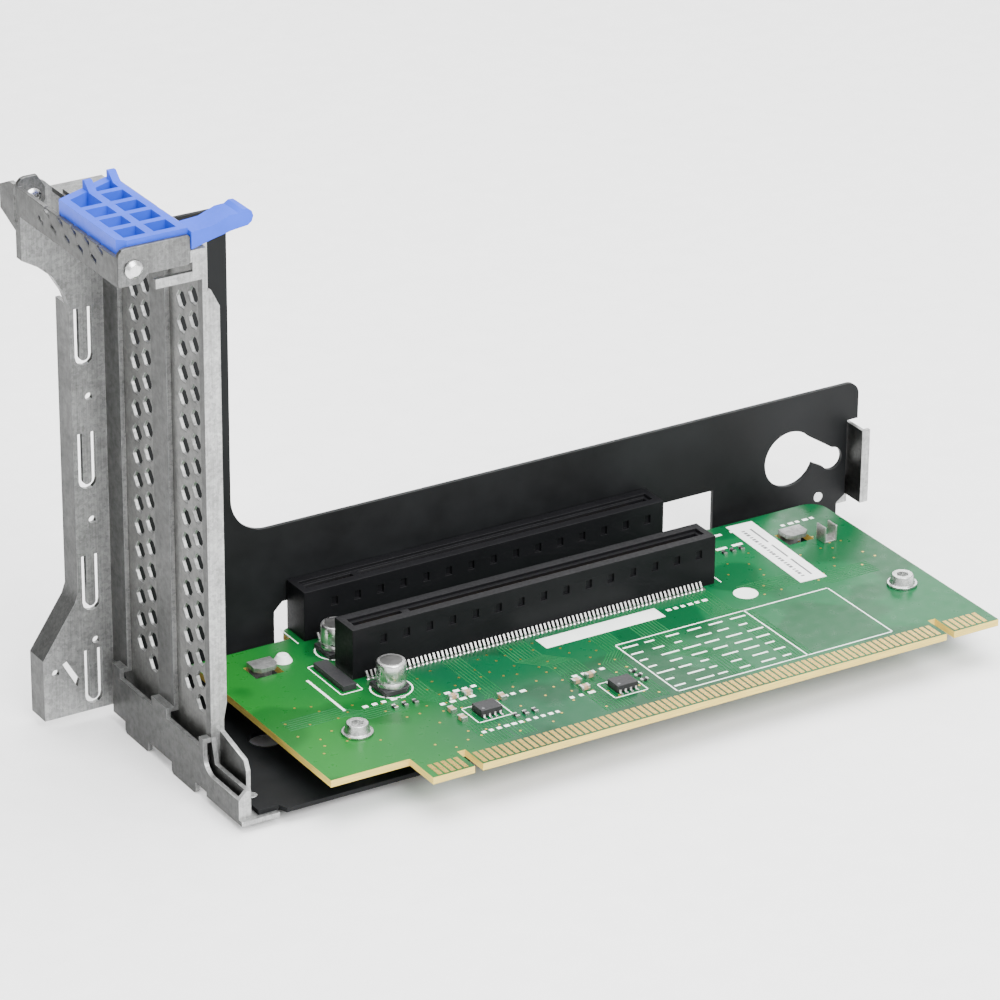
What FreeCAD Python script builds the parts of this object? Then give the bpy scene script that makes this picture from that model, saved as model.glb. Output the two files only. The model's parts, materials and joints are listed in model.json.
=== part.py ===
import FreeCAD, Part

"""Riser card assembly for a rack server, as a parametric document.

Frame: X runs along the riser board, away from the slot bracket (X = 0 is the outer face of
the bracket wall).  Y = 0 is the front face of the carrier plate's wall and the board lies
towards -Y.  Z is up; Z = 0 lies in the carrier plate's own height, 4.8 mm above its
underside.  All sizes are in millimetres.
"""

import math
import os
import re

import Sketcher

doc = FreeCAD.newDocument("riser_card")

# ---------------------------------------------------------------- driving dimensions

SIZES = {
    # sheet metal
    "gauge": 1.0,                # thickness of every folded steel sheet
    "seat_gap": 0.3,             # air between faces of pieces that move past each other
    "underside": -4.8,           # lowest face of the carrier floor
    # slot bracket wall (YZ) and its joggled bottom rail
    "wall_front": 42.5,          # front edge of the wall, measured towards -Y
    "wall_top": 112.0,           # upper face of the shelf the card tabs rest on
    "slot_pitch": 20.32,         # distance between expansion slots
    "window_back": 6.4,          # back edge of the first slot window
    "window_width": 13.8,
    "window_sill": 4.3,
    "window_head_drop": 5.0,     # window heads below the wall's top
    "joggle": 1.8,               # how far the bottom rail is set outwards
    "rail_top": 5.5,
    "rail_back": 3.0,
    "rail_front": 57.0,
    "rail_toe_height": 4.3,      # height of the rail's low front end
    "rail_sweep": 3.4,           # curve from the rail's low end up to the wall
    "guide_tab_back": 8.2,       # tabs below the rail that find slots in the chassis
    "guide_tab_width": 10.2,
    "guide_tab_reach": 2.5,
    "foot_front": 56.2,
    "foot_height": 6.0,
    "gusset_place": 2.0,
    "gusset_front": 53.2,
    "gusset_high": 12.4,
    "gusset_low": 10.2,
    "return_width": 3.7,         # front return flange of the wall
    "return_bottom": 10.0,
    "return_top_drop": 9.0,
    # shelf, ears and latch pivot
    "shelf_reach": 10.4,
    "pivot_out": 15.4,           # pivot axis, outwards of the wall
    "pivot_drop": 0.6,           # pivot axis below the wall's top
    "rivet_radius": 1.2,
    "rivet_clearance": 0.06,
    "rivet_head_radius": 1.9,
    "rivet_head_height": 1.1,
    "ear_radius": 1.9,
    "ear_bar_reach": 10.0,       # bar below the front ear
    "ear_bar_drop": 5.8,
    "ear_bar_width": 2.0,
    "ear_bar_root": 2.0,
    # side flange (XZ)
    "flange_width": 7.6,
    "flange_foot_width": 16.0,
    "flange_head_width": 17.6,
    "flange_foot_top": 9.0,
    "flange_waist_bottom": 22.0,
    "flange_waist_drop": 25.0,
    "flange_head_drop": 14.2,
    "head_lip_depth": 2.2,
    "lip_depth": 6.0,
    "hook_depth": 10.0,
    "hook_drop": 7.4,
    "hook_slit": 1.6,
    "finger_pitch": 27.3,        # spacing of the spring fingers
    "finger_first": 18.0,        # lower end of the lowest finger
    "finger_length": 12.5,
    "finger_width": 4.0,
    "finger_slit": 1.0,
    "finger_inset": 1.0,
    "foot_finger_bottom": -3.4,
    "pip_drop": 7.0,             # pierced hole below each spring finger
    "pip_radius": 0.8,
    # blank slot covers
    "cover_gauge": 0.86,
    "cover_width": 18.42,
    "cover_margin": 2.5,         # from the side flange to the first cover
    "tongue_width": 10.19,
    "tongue_bottom": -4.4,
    "tongue_shoulder": -2.2,
    "cover_shoulder": 3.8,
    "cover_tab_reach": 10.0,
    "vent_flat": 3.5,            # hexagonal vent, across the flats
    "vent_pitch": 5.2,
    "vent_first": 11.5,
    "vent_rows": 18,
    "vent_column_step": 4.9,
    "vent_inset": 4.6,           # from the cover's front edge to its front vent column
    "vent_bow": 0.35,            # how far the vent corners stand proud of the flats
    # carrier plate: wall and floor in one folded sheet
    "carrier_start": 1.0,
    "arm_right": 28.0,
    "arm_top": 100.0,
    "low_top": 26.5,
    "arm_fillet": 8.5,
    "carrier_end": 186.0,
    "carrier_corner": 3.0,
    "carrier_step_end": 183.2,
    "carrier_step_height": 17.6,
    "carrier_toe_end": 181.0,
    "carrier_toe_height": -0.5,
    "cutout_start": 37.8,
    "cutout_end": 147.8,
    "cutout_bottom": -2.6,
    "cutout_top": 8.8,
    "cutout_chamfer": 2.0,
    "keyhole_place": 168.0,
    "keyhole_height": 11.6,
    "keyhole_radius": 6.6,
    "keyhole_slot_end": 182.0,
    "keyhole_slot_rise": 2.4,    # slot centre line above the circle's centre, at its end
    "keyhole_slot_radius": 2.7,
    "floor_start": 2.6,
    "floor_end": 176.0,
    "floor_front": 59.0,
    "floor_notch": 2.0,          # floor set back beside the bracket
    "floor_notch_end": 7.2,
    "floor_hole_place": 18.5,
    "floor_hole_depth": 31.0,
    "floor_hole_radius": 3.5,
    # riser board
    "board_top": 2.6,
    "board_gauge": 1.57,
    "board_left": 15.3,
    "board_right": 171.9,
    "board_back": 5.25,
    "board_heel": 63.8,          # front edge beside the bracket
    "board_front": 73.0,         # gold edge
    "heel_end": 33.4,
    "tab_start": 38.6,
    "tab_end": 133.5,
    "tab_back": 0.5,
    "tab_corner": 2.5,
    "board_corner": 4.0,
    "key_notch_width": 1.9,
    "key_notch_depth": 7.0,
    "key_notch_near": 44.0,
    "key_notch_far": 159.5,
    "screw_near": 29.8,
    "screw_far": 164.0,
    "screw_depth": 49.0,
    "screw_radius": 1.45,
    "board_hole_radius": 1.75,
    "gold_pitch": 1.5,
    "gold_width": 1.0,
    "gold_length": 4.6,
    "gold_gauge": 0.05,
    "gold_setback": 0.5,
    # hooks that hold the board down
    "hook_near": 27.0,
    "hook_far": 157.3,
    "hook_near_depth": 12.6,
    "hook_far_depth": 15.6,
    "hook_width": 5.5,
    "hook_nose": 3.2,
    "hook_slack": 0.5,
    # card slots
    "slot_start": 40.6,
    "slot_length": 89.0,
    "slot_width": 7.5,
    "slot_height": 11.25,
    "slot_back_gap": 0.5,
    "mouth_width": 1.75,
    "mouth_depth": 8.3,
    "key_place": 14.7,           # centre of the key, from the slot's near end
    "key_width": 1.9,
    "mouth_end": 2.3,
    "lead_in": 0.7,
    "relief_pitch": 5.54,
    "relief_count": 15,
    "relief_width": 1.5,
    "relief_height": 1.9,
    "relief_rise": 6.8,
    "relief_depth": 0.6,
    "tail_pitch": 2.0,
    "tail_count": 42,
    "tail_width": 0.7,
    "tail_reach": 1.7,
    "tail_gauge": 0.25,
    "tail_start": 3.0,
    # latch
    "latch_out": 18.6,           # outer face of the latch frame
    "latch_fall": 3.4,           # frame below the pivot
    "latch_rise": 4.4,           # frame above the pivot
    "latch_bend": 1.8,
    "latch_back": 0.3,           # back face of the frame, from the side flange
    "latch_slot_length": 2.4,
    "latch_slot_height": 0.9,
    "latch_slot_pitch": 5.6,
    "arm_end": 3.0,
    "arm_fall": 1.7,             # front arm's lower edge below the pivot
    "lever_gap": 0.5,            # air above the covers' tabs
    "lever_depth": 3.6,
    "lever_right": 3.0,
    "lever_corner": 1.6,
    "lever_back_right": 11.0,
    "lever_back_left": 17.5,
    "rail_width": 1.7,
    "rib_width": 1.1,
    "rib_pitch": 5.9,
    "tooth_height": 1.8,
    "tooth_length": 2.6,
    "handle_reach": 10.4,
    "handle_front": 44.2,
    "handle_width": 6.0,
    "handle_rise": 2.0,
    "handle_tip_radius": 1.8,
    # capacitors
    "can_radius": 3.15,
    "can_height": 5.4,
    "can_base_side": 6.6,
    "can_base_height": 1.1,
    "can_rear_place": 44.2,
    "can_rear_depth": 14.8,
    "can_front_place": 45.6,
    "can_front_depth": 35.4,
    # small outline packages
    "chip_length": 5.0,
    "chip_width": 4.0,
    "chip_height": 1.5,
    "chip_lift": 0.15,
    "chip_near_place": 57.2,
    "chip_near_depth": 54.2,
    "chip_far_place": 86.8,
    "chip_far_depth": 59.0,
    "lead_pitch": 1.27,
    "lead_width": 0.45,
    "lead_reach": 1.0,
    "lead_gauge": 0.22,
    # chip resistors and capacitors
    "chipcap_length": 2.0,
    "chipcap_width": 1.25,
    "chipcap_height": 0.9,
    "resistor_length": 1.6,
    "resistor_width": 0.8,
    "resistor_height": 0.5,
    # other board pieces
    "standoff_flat": 5.5,
    "washer_radius": 3.3,
    "washer_gauge": 0.6,
    "head_radius": 2.75,
    "head_height": 1.9,
    "drive_radius": 1.3,
    "drive_depth": 1.2,
    "pushpin_place": 32.4,
    "pushpin_depth": 13.4,
    "pushpin_radius": 2.1,
    "pushpin_height": 1.5,
    "pushpin_shank": 1.1,
    "bank_place": 36.2,
    "bank_depth": 19.5,
    "bank_width": 3.2,
    "bank_length": 12.5,
    "bank_height": 1.3,
    "clip_place": 161.0,
    "clip_depth": 21.0,
    "clip_width": 3.2,
    "clip_height": 3.8,
    "clip_gauge": 0.4,
    "label_place": 147.0,
    "label_depth": 6.4,
    "label_width": 6.6,
    "label_length": 31.0,
    "label_turn": 2.5,
    "label_gauge": 0.12,
    # guide angle at the carrier's end
    "guide_reach": 5.4,
    "guide_bottom": -0.6,
    "guide_top": 17.0,
    "guide_leaf_start": 172.5,
    "guide_leaf_top": 3.4,
    "guide_turn": 2.2,
    "guide_gap": 0.3,
    # rivets that join bracket and carrier
    "rear_joint_place": 7.0,
    "rear_joint_reach": 11.0,
    "rear_joint_width": 7.2,
    "front_joint_place": 4.6,
    "front_joint_depth": 50.5,
    "front_joint_reach": 6.8,
    "front_joint_back": 43.4,
    "front_joint_lip": 1.2,      # how far the front tab shows before the floor
    "joint_rivet_head": 2.1,
    "joint_rivet_height": 0.8,
}

# places that follow from the sizes above
DERIVED = {
    "pivot_height": "(wall_top - pivot_drop)",
    "window_head": "(wall_top - window_head_drop)",
    "return_top": "(wall_top - return_top_drop)",
    "flange_waist_top": "(wall_top - flange_waist_drop)",
    "flange_head_bottom": "(wall_top - flange_head_drop)",
    "hook_bottom": "(wall_top - hook_drop)",
    "latch_bottom": "(wall_top - pivot_drop - latch_fall)",
    "latch_top": "(wall_top - pivot_drop + latch_rise)",
    "arm_bottom": "(wall_top - pivot_drop - arm_fall)",
    "lever_bottom": "(wall_top + cover_gauge + lever_gap)",
    "lever_top": "(wall_top + cover_gauge + lever_gap + lever_depth)",
    "toe_top": "(underside + rail_toe_height)",
    "floor_top": "(underside + gauge)",
}

sheet = doc.addObject("Spreadsheet::Sheet", "Sizes")
for row, (alias, value) in enumerate(SIZES.items(), start=1):
    sheet.set("A%d" % row, alias)
    sheet.set("B%d" % row, str(value))
    sheet.setAlias("B%d" % row, alias)
doc.recompute()


def size(alias):
    """A size read back from the sheet."""
    return float(sheet.get(alias))


def bound(text):
    """An expression in the sheet's aliases, written without the sheet's name."""
    text = re.sub(r"[a-z][a-z_]*", lambda word: DERIVED.get(word.group(), word.group()), str(text))
    return re.sub(
        r"[a-z][a-z_]*",
        lambda word: "Sizes." + word.group() if word.group() in SIZES else word.group(),
        text,
    )


def bind(target, **expressions):
    """Bind properties (a__b stands for a.b) of an object to expressions."""
    for name, text in expressions.items():
        target.setExpression(name.replace("__", "."), bound(text))


nodes = []


def node(thing, label):
    """Give a finished sub-part its label and list it for export."""
    thing.Label = label
    nodes.append(thing)
    return thing


# ---------------------------------------------------------------- sketches and features


def origin_plane(body, role):
    return next(item for item in body.Origin.OriginFeatures if item.Role == role)


def polygon(*points):
    return ("polygon", points)


def circle(x, y, radius):
    return ("circle", (x, y, radius))


def rectangle(left, bottom, right, top):
    return polygon((left, bottom), (right, bottom), (right, top), (left, top))


def place_point(sketch, geometry, position, name, x, y):
    """Fix one point of a sketch at a pair of expressions."""
    for axis, kind, text in (("x", "DistanceX", x), ("y", "DistanceY", y)):
        index = sketch.addConstraint(Sketcher.Constraint(kind, -1, 1, geometry, position, 1.0))
        sketch.renameConstraint(index, name + axis)
        sketch.setExpression("Constraints." + name + axis, bound(text))


SEED_RADIUS = 50.0               # outlines start as a ring before the sheet places them


def draw_polygon(sketch, points, name):
    """A closed outline of straight lines, every corner fixed by the sheet."""
    count = len(points)
    first = sketch.GeometryCount
    turn = 2 * math.pi / count
    ring = [
        FreeCAD.Vector(SEED_RADIUS * math.cos(turn * k), SEED_RADIUS * math.sin(turn * k), 0)
        for k in range(count)
    ]
    for k in range(count):
        sketch.addGeometry(Part.LineSegment(ring[k], ring[(k + 1) % count]), False)
    for k in range(count):
        sketch.addConstraint(
            Sketcher.Constraint("Coincident", first + k, 2, first + (k + 1) % count, 1)
        )
    for k, (x, y) in enumerate(points):
        place_point(sketch, first + k, 1, "%s%d" % (name, k), x, y)


def draw_circle(sketch, x, y, radius, name):
    index = sketch.addGeometry(
        Part.Circle(FreeCAD.Vector(0, 0, 0), FreeCAD.Vector(0, 0, 1), 5.0), False
    )
    place_point(sketch, index, 3, name, x, y)
    constraint = sketch.addConstraint(Sketcher.Constraint("Radius", index, 5.0))
    sketch.renameConstraint(constraint, name + "radius")
    sketch.setExpression("Constraints." + name + "radius", bound(radius))


def profile(body, name, role, level, loops):
    """A sketch on one of the body's own planes, moved to a level along its normal."""
    sketch = body.newObject("Sketcher::SketchObject", name + "_profile")
    sketch.AttachmentSupport = (origin_plane(body, role), [""])
    sketch.MapMode = "FlatFace"
    sketch.setExpression("AttachmentOffset.Base.z", bound(level))
    for number, (kind, data) in enumerate(loops):
        label = "l%d_" % number
        if kind == "polygon":
            draw_polygon(sketch, data, label)
        else:
            draw_circle(sketch, data[0], data[1], data[2], label)
    return sketch


def leaf(body, name, role, level, thickness, *loops):
    """A flat leaf of material: the loops, padded along the plane's normal."""
    pad = body.newObject("PartDesign::Pad", name)
    pad.Profile = profile(body, name, role, level, loops)
    bind(pad, Length=thickness)
    return pad


def cut(body, name, role, level, depth, *loops):
    """A pocket that runs against the plane's normal from its level."""
    pocket = body.newObject("PartDesign::Pocket", name)
    pocket.Profile = profile(body, name, role, level, loops)
    bind(pocket, Length=depth)
    return pocket


def repeat(body, name, feature, axis, length, count):
    """A row of copies of one feature along an axis of its own sketch."""
    pattern = body.newObject("PartDesign::LinearPattern", name)
    pattern.Originals = [feature]
    pattern.Direction = (feature.Profile[0], [axis])
    bind(pattern, Length=length)
    pattern.Occurrences = count
    body.Tip = pattern
    return pattern


def new_body(name):
    return doc.addObject("PartDesign::Body", name)


def edges_along(shape, axis, places, reach=0.05):
    """Names of the straight edges along an axis that pass through the given places."""
    found = []
    for number, edge in enumerate(shape.Edges, start=1):
        if edge.Curve.TypeId != "Part::GeomLine":
            continue
        if abs(abs(edge.tangentAt(edge.FirstParameter).dot(axis)) - 1) > 1e-6:
            continue
        middle = edge.CenterOfMass
        for place in places:
            offset = FreeCAD.Vector(*place) - middle
            if (offset - axis * offset.dot(axis)).Length < reach:
                found.append("Edge%d" % number)
                break
    return found


def rounded(body, name, radius, axis, places):
    """Round the edges along an axis that pass through the given places."""
    doc.recompute()
    base = body.Tip
    names = edges_along(base.Shape, axis, places)
    fillet = body.newObject("PartDesign::Fillet", name)
    fillet.Base = (base, names)
    bind(fillet, Radius=radius)
    return fillet


ALONG_X = FreeCAD.Vector(1, 0, 0)
ALONG_Y = FreeCAD.Vector(0, 1, 0)
ALONG_Z = FreeCAD.Vector(0, 0, 1)


# ---------------------------------------------------------------- primitives and booleans


def put(thing, x, y, z):
    bind(thing, Placement__Base__x=x, Placement__Base__y=y, Placement__Base__z=z)


def block(name, x, y, z, length, width, height):
    """A box with its low corner at x, y, z."""
    box = doc.addObject("Part::Box", name)
    bind(box, Length=length, Width=width, Height=height)
    put(box, x, y, z)
    return box


def rod(name, x, y, z, radius, height):
    """An upright cylinder with its lower face at x, y, z."""
    cylinder = doc.addObject("Part::Cylinder", name)
    bind(cylinder, Radius=radius, Height=height)
    put(cylinder, x, y, z)
    return cylinder


def fused(name, *pieces):
    fusion = doc.addObject("Part::MultiFuse", name)
    fusion.Shapes = list(pieces)
    return fusion


def less(name, base, tool):
    result = doc.addObject("Part::Cut", name)
    result.Base = base
    result.Tool = tool
    return result


def group(name, *pieces):
    """Loose pieces of one kind kept as one node."""
    compound = doc.addObject("Part::Compound", name)
    compound.Links = list(pieces)
    return compound


# ---------------------------------------------------------------- slot bracket


def spring_finger(low):
    """A U-shaped slit that frees a spring finger, rounded at its lower end."""
    middle = "(flange_width - finger_inset - finger_width / 2)"
    outer = "finger_width / 2"
    inner = "(finger_width / 2 - finger_slit)"
    top = "(%s + finger_length)" % low
    turn = "(%s + finger_width / 2)" % low
    points = [("-%s - %s" % (middle, outer), top)]
    for step in range(7):
        angle = 180 + 30 * step
        points.append(
            (
                "-%s + %s * cos(%d deg)" % (middle, outer, angle),
                "%s + %s * sin(%d deg)" % (turn, outer, angle),
            )
        )
    points.append(("-%s + %s" % (middle, outer), top))
    points.append(("-%s + %s" % (middle, inner), top))
    for step in range(7):
        angle = 360 - 30 * step
        points.append(
            (
                "-%s + %s * cos(%d deg)" % (middle, inner, angle),
                "%s + %s * sin(%d deg)" % (turn, inner, angle),
            )
        )
    points.append(("-%s - %s" % (middle, inner), top))
    return polygon(*points)


def guide_tab_points():
    """Lower edge of the rail with its two guide tabs, from the back to the front."""
    points = []
    for number in range(2):
        back = "-guide_tab_back - %d * slot_pitch" % number
        front = back + " - guide_tab_width"
        low = "underside - guide_tab_reach"
        points += [
            (back, "underside"), (back, low + " + 0.6"), (back + " - 0.6", low),
            (front + " + 0.6", low), (front, low + " + 0.6"), (front, "underside"),
        ]
    return points


def rail_sweep_points():
    """Upper edge of the rail's front end, sweeping up to the wall."""
    centre = ("(-wall_front - rail_sweep + 0.2)", "(toe_top + rail_sweep)")
    return [
        (
            "%s + rail_sweep * cos(%d deg)" % (centre[0], angle),
            "%s + rail_sweep * sin(%d deg)" % (centre[1], angle),
        )
        for angle in (-90, -68, -45, -22, 0)
    ]


def build_rail(body):
    """The joggled bottom rail, its front end folded back into a short channel."""
    leaf(
        body, "rail", "YZ_Plane", "-joggle", "gauge",
        polygon(
            ("-rail_back", "underside"),
            *guide_tab_points(),
            ("-front_joint_back", "underside"),
            ("-front_joint_back", "underside - gauge"),
            ("-rail_front", "underside - gauge"),
            ("-rail_front", "toe_top"),
            *rail_sweep_points(),
            ("-wall_front + 0.2", "rail_top + gauge"),
            ("-rail_back", "rail_top + gauge"),
        ),
    )
    leaf(
        body, "rail_step", "XY_Plane", "rail_top", "gauge",
        rectangle("-joggle", "-wall_front + 0.2", "gauge", "-rail_back"),
    )
    leaf(
        body, "front_web", "XZ_Plane", "rail_front - gauge", "gauge",
        polygon(
            ("-joggle", "underside - gauge"),
            ("gauge", "underside - gauge"),
            ("gauge", "underside + foot_height"),
            ("0", "underside + foot_height"),
            ("-joggle", "toe_top"),
        ),
    )
    leaf(
        body, "foot", "YZ_Plane", "0", "gauge",
        polygon(
            ("-wall_front + gauge", "underside"),
            ("-rail_front", "underside"),
            ("-rail_front", "underside + foot_height"),
            ("-wall_front - 1.4", "underside + foot_height"),
            ("-wall_front", "rail_top + gauge"),
            ("-wall_front + gauge", "rail_top + gauge"),
        ),
    )
    leaf(
        body, "gusset", "YZ_Plane", "gusset_place", "gauge",
        polygon(
            ("-wall_front + gauge", "floor_top"),
            ("-gusset_front", "floor_top"),
            ("-gusset_front", "underside + gusset_low - 2"),
            ("-gusset_front + 1", "underside + gusset_low"),
            ("-wall_front", "underside + gusset_high"),
            ("-wall_front + gauge", "underside + gusset_high"),
        ),
    )


def joint_places():
    """Places of the two rivets between bracket and carrier floor."""
    between_covers = "(cover_margin + cover_width / 2 + slot_pitch / 2)"
    return (
        ("rear_joint_place", between_covers, "rear"),
        ("front_joint_place", "front_joint_depth", "front"),
    )


def build_joint_tabs(body):
    """Tabs bent in from the rail: one lies on the carrier floor, one lies under it."""
    (rear_x, rear_y, name), (front_x, front_y, other) = joint_places()
    leaf(
        body, name + "_joint_tab", "XY_Plane", "floor_top", "gauge",
        rectangle(
            "-joggle", "-%s - rear_joint_width / 2" % rear_y,
            "rear_joint_reach", "-%s + rear_joint_width / 2" % rear_y,
        ),
        circle(rear_x, "-" + rear_y, "rivet_radius"),
    )
    leaf(
        body, other + "_joint_tab", "XY_Plane", "underside - gauge", "gauge",
        rectangle(
            "-joggle", "-floor_front + floor_notch - front_joint_lip",
            "front_joint_reach", "-front_joint_back",
        ),
        circle(front_x, "-" + front_y, "rivet_radius"),
    )


def build_rear_bracket():
    body = new_body("RearBracket")
    leaf(
        body, "wall", "YZ_Plane", "0", "gauge",
        rectangle("-wall_front", "rail_top", "gauge", "wall_top"),
    )
    build_rail(body)
    for number in range(2):
        back = "-window_back - %d * slot_pitch" % number
        cut(
            body, "window_%d" % number, "YZ_Plane", "gauge", "joggle + gauge",
            rectangle(back + " - window_width", "window_sill", back, "window_head"),
        )
    leaf(
        body, "front_return", "XZ_Plane", "wall_front - gauge", "gauge",
        polygon(
            ("0", "floor_top"),
            ("gusset_place + gauge", "floor_top"),
            ("gusset_place + gauge", "return_bottom"),
            ("return_width", "return_bottom + return_width"),
            ("return_width", "return_top - return_width"),
            ("return_width / 2", "return_top"),
            ("0", "return_top"),
        ),
    )
    ear_left = "-pivot_out"
    slope = 0.71
    leaf(
        body, "front_ear", "XZ_Plane", "wall_front - gauge", "gauge",
        polygon(
            ("gauge", "pivot_height - ear_bar_drop"),
            ("gauge", "wall_top"),
            (ear_left + " + 4.8", "wall_top"),
            (ear_left, "pivot_height + ear_radius"),
            ("%s - ear_radius * %s" % (ear_left, slope), "pivot_height + ear_radius * %s" % slope),
            (ear_left + " - ear_radius", "pivot_height"),
            ("%s - ear_radius * %s" % (ear_left, slope), "pivot_height - ear_radius * %s" % slope),
            (ear_left, "pivot_height - ear_radius"),
            ("-ear_bar_root", "pivot_height - ear_radius"),
            ("-ear_bar_root", "pivot_height - ear_bar_drop + ear_bar_width"),
            ("-ear_bar_reach", "pivot_height - ear_bar_drop + ear_bar_width"),
            ("-ear_bar_reach", "pivot_height - ear_bar_drop"),
        ),
        circle("-pivot_out", "pivot_height", "rivet_radius"),
    )
    leaf(
        body, "shelf", "XY_Plane", "wall_top - gauge", "gauge",
        rectangle("-shelf_reach", "-wall_front", "gauge", "gauge"),
    )
    build_side_flange(body)
    build_joint_tabs(body)
    return node(body, "rear_bracket")


def flange_edge():
    """Outer edge of the side flange, from its foot up to its head."""
    return [
        ("-flange_foot_width", "underside"),
        ("-flange_foot_width", "flange_foot_top"),
        ("-flange_width - 0.8", "flange_waist_bottom - 1.6"),
        ("-flange_width", "flange_waist_bottom + 0.6"),
        ("-flange_width", "flange_waist_top - 1"),
        ("-flange_width - 1", "flange_waist_top + 2"),
        ("-flange_width - 3.4", "flange_waist_top + 6"),
        ("-flange_head_width + 3.4", "flange_head_bottom - 2"),
        ("-flange_head_width", "flange_head_bottom"),
    ]


def build_side_flange(body):
    """Flange against the chassis side: spring fingers, pierced holes and a folded lip."""
    fingers = [spring_finger("(finger_first + %d * finger_pitch)" % number) for number in range(3)]
    pips = [
        circle("-flange_width / 2", "finger_first + %d * finger_pitch - pip_drop" % number, "pip_radius")
        for number in range(3)
    ]
    leaf(
        body, "side_flange", "XZ_Plane", "-gauge", "gauge",
        polygon(
            ("gauge", "underside"),
            *flange_edge(),
            ("-flange_head_width", "pivot_height + 1"),
            ("-pivot_out - 1.6", "pivot_height + 3"),
            ("-pivot_out + 1.2", "pivot_height + 3.3"),
            ("-pivot_out + 3.4", "pivot_height + 2.2"),
            ("-shelf_reach", "wall_top"),
            ("gauge", "wall_top"),
        ),
        circle("-pivot_out", "pivot_height", "rivet_radius"),
        polygon(
            ("-flange_foot_width + 4.4", "flange_foot_top - 1.8"),
            ("-flange_foot_width + 5.4", "flange_foot_top - 1.2"),
            ("-flange_foot_width + 8.2", "flange_foot_top - 6.0"),
            ("-flange_foot_width + 7.6", "flange_foot_top - 7.6"),
        ),
        circle("-flange_foot_width + 2.8", "flange_foot_top - 3.4", "pip_radius"),
        *pips,
        *fingers,
    )
    cut(
        body, "foot_finger", "XZ_Plane", "0", "gauge",
        spring_finger("foot_finger_bottom"),
    )
    edge = flange_edge()
    inner = [("%s + gauge" % x, z) for x, z in reversed(edge)]
    inner[-1] = ("-flange_foot_width + gauge", "underside")
    leaf(
        body, "lip", "XZ_Plane", "-lip_depth", "lip_depth",
        polygon(*edge[:5], *inner[4:]),
    )
    leaf(
        body, "head_lip", "XZ_Plane", "-head_lip_depth", "head_lip_depth",
        polygon(
            *edge[4:],
            ("-flange_head_width", "hook_bottom"),
            ("-flange_head_width + gauge", "hook_bottom"),
            *inner[:5],
        ),
    )
    leaf(
        body, "top_hook", "YZ_Plane", "-flange_head_width", "gauge",
        polygon(
            ("0", "hook_bottom - 2"),
            ("hook_depth - 1.2", "hook_bottom + 1.6"),
            ("hook_depth - 1.2", "pivot_height - 0.2"),
            ("hook_depth - 5.6", "pivot_height + 1.8"),
            ("gauge + hook_slit", "pivot_height + 1.8"),
            ("gauge + hook_slit", "hook_bottom + 0.6"),
            ("gauge", "hook_bottom + 0.6"),
            ("gauge", "pivot_height + 1"),
            ("0", "pivot_height + 1"),
        ),
    )


# ---------------------------------------------------------------- blank slot covers


def build_slot_cover(label, number):
    """A blank card bracket: tongue, ventilated face and a tab bent out over the shelf."""
    body = new_body("Cover%d" % number)
    back = "(cover_margin + %d * slot_pitch)" % number
    middle = "(%s + cover_width / 2)" % back
    leaf(
        body, "face", "YZ_Plane", "gauge", "cover_gauge",
        polygon(
            ("-%s - tongue_width / 2" % middle, "tongue_bottom + 0.8"),
            ("-%s - tongue_width / 2 + 0.8" % middle, "tongue_bottom"),
            ("-%s + tongue_width / 2 - 0.8" % middle, "tongue_bottom"),
            ("-%s + tongue_width / 2" % middle, "tongue_bottom + 0.8"),
            ("-%s + tongue_width / 2" % middle, "tongue_shoulder"),
            ("-" + back, "cover_shoulder"),
            ("-" + back, "wall_top + cover_gauge"),
            ("-%s - cover_width" % back, "wall_top + cover_gauge"),
            ("-%s - cover_width" % back, "cover_shoulder"),
            ("-%s - tongue_width / 2" % middle, "tongue_shoulder"),
        ),
    )
    notch = "(%s + cover_width * 0.28)" % middle
    leaf(
        body, "tab", "XY_Plane", "wall_top", "cover_gauge",
        polygon(
            ("-cover_tab_reach + 1.2", "-" + back),
            ("gauge + cover_gauge", "-" + back),
            ("gauge + cover_gauge", "-%s - cover_width" % back),
            ("-cover_tab_reach + 1.2", "-%s - cover_width" % back),
            ("-cover_tab_reach", "-%s - cover_width + 1.2" % back),
            ("-cover_tab_reach", "-%s - 2.2" % notch),
            ("-cover_tab_reach + 4.4", "-%s - 2.2" % notch),
            ("-cover_tab_reach + 5.8", "-%s - 1.1" % notch),
            ("-cover_tab_reach + 5.8", "-%s + 1.1" % notch),
            ("-cover_tab_reach + 4.4", "-%s + 2.2" % notch),
            ("-cover_tab_reach", "-%s + 2.2" % notch),
            ("-cover_tab_reach", "-%s - 1.2" % back),
        ),
    )
    front_column = "(%s + cover_width - vent_inset)" % back
    for column in range(2):
        across = "(%s - %d * vent_column_step)" % (front_column, column)
        height = "(vent_first + %d * vent_pitch / 2)" % column
        half = "vent_flat / 2"
        vents = cut(
            body, "vent_%d" % column, "YZ_Plane", "gauge + cover_gauge", "cover_gauge",
            polygon(
                ("-%s - vent_flat / 2 - vent_bow" % across, height),
                ("-%s - vent_flat / 4" % across, "%s - %s" % (height, half)),
                ("-%s + vent_flat / 4" % across, "%s - %s" % (height, half)),
                ("-%s + vent_flat / 2 + vent_bow" % across, height),
                ("-%s + vent_flat / 4" % across, "%s + %s" % (height, half)),
                ("-%s - vent_flat / 4" % across, "%s + %s" % (height, half)),
            ),
        )
        rows = int(size("vent_rows")) - column
        repeat(
            body, "vents_%d" % column, vents, "V_Axis",
            "%d * vent_pitch" % (rows - 1), rows,
        )
    return node(body, label)


# ---------------------------------------------------------------- carrier plate


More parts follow.
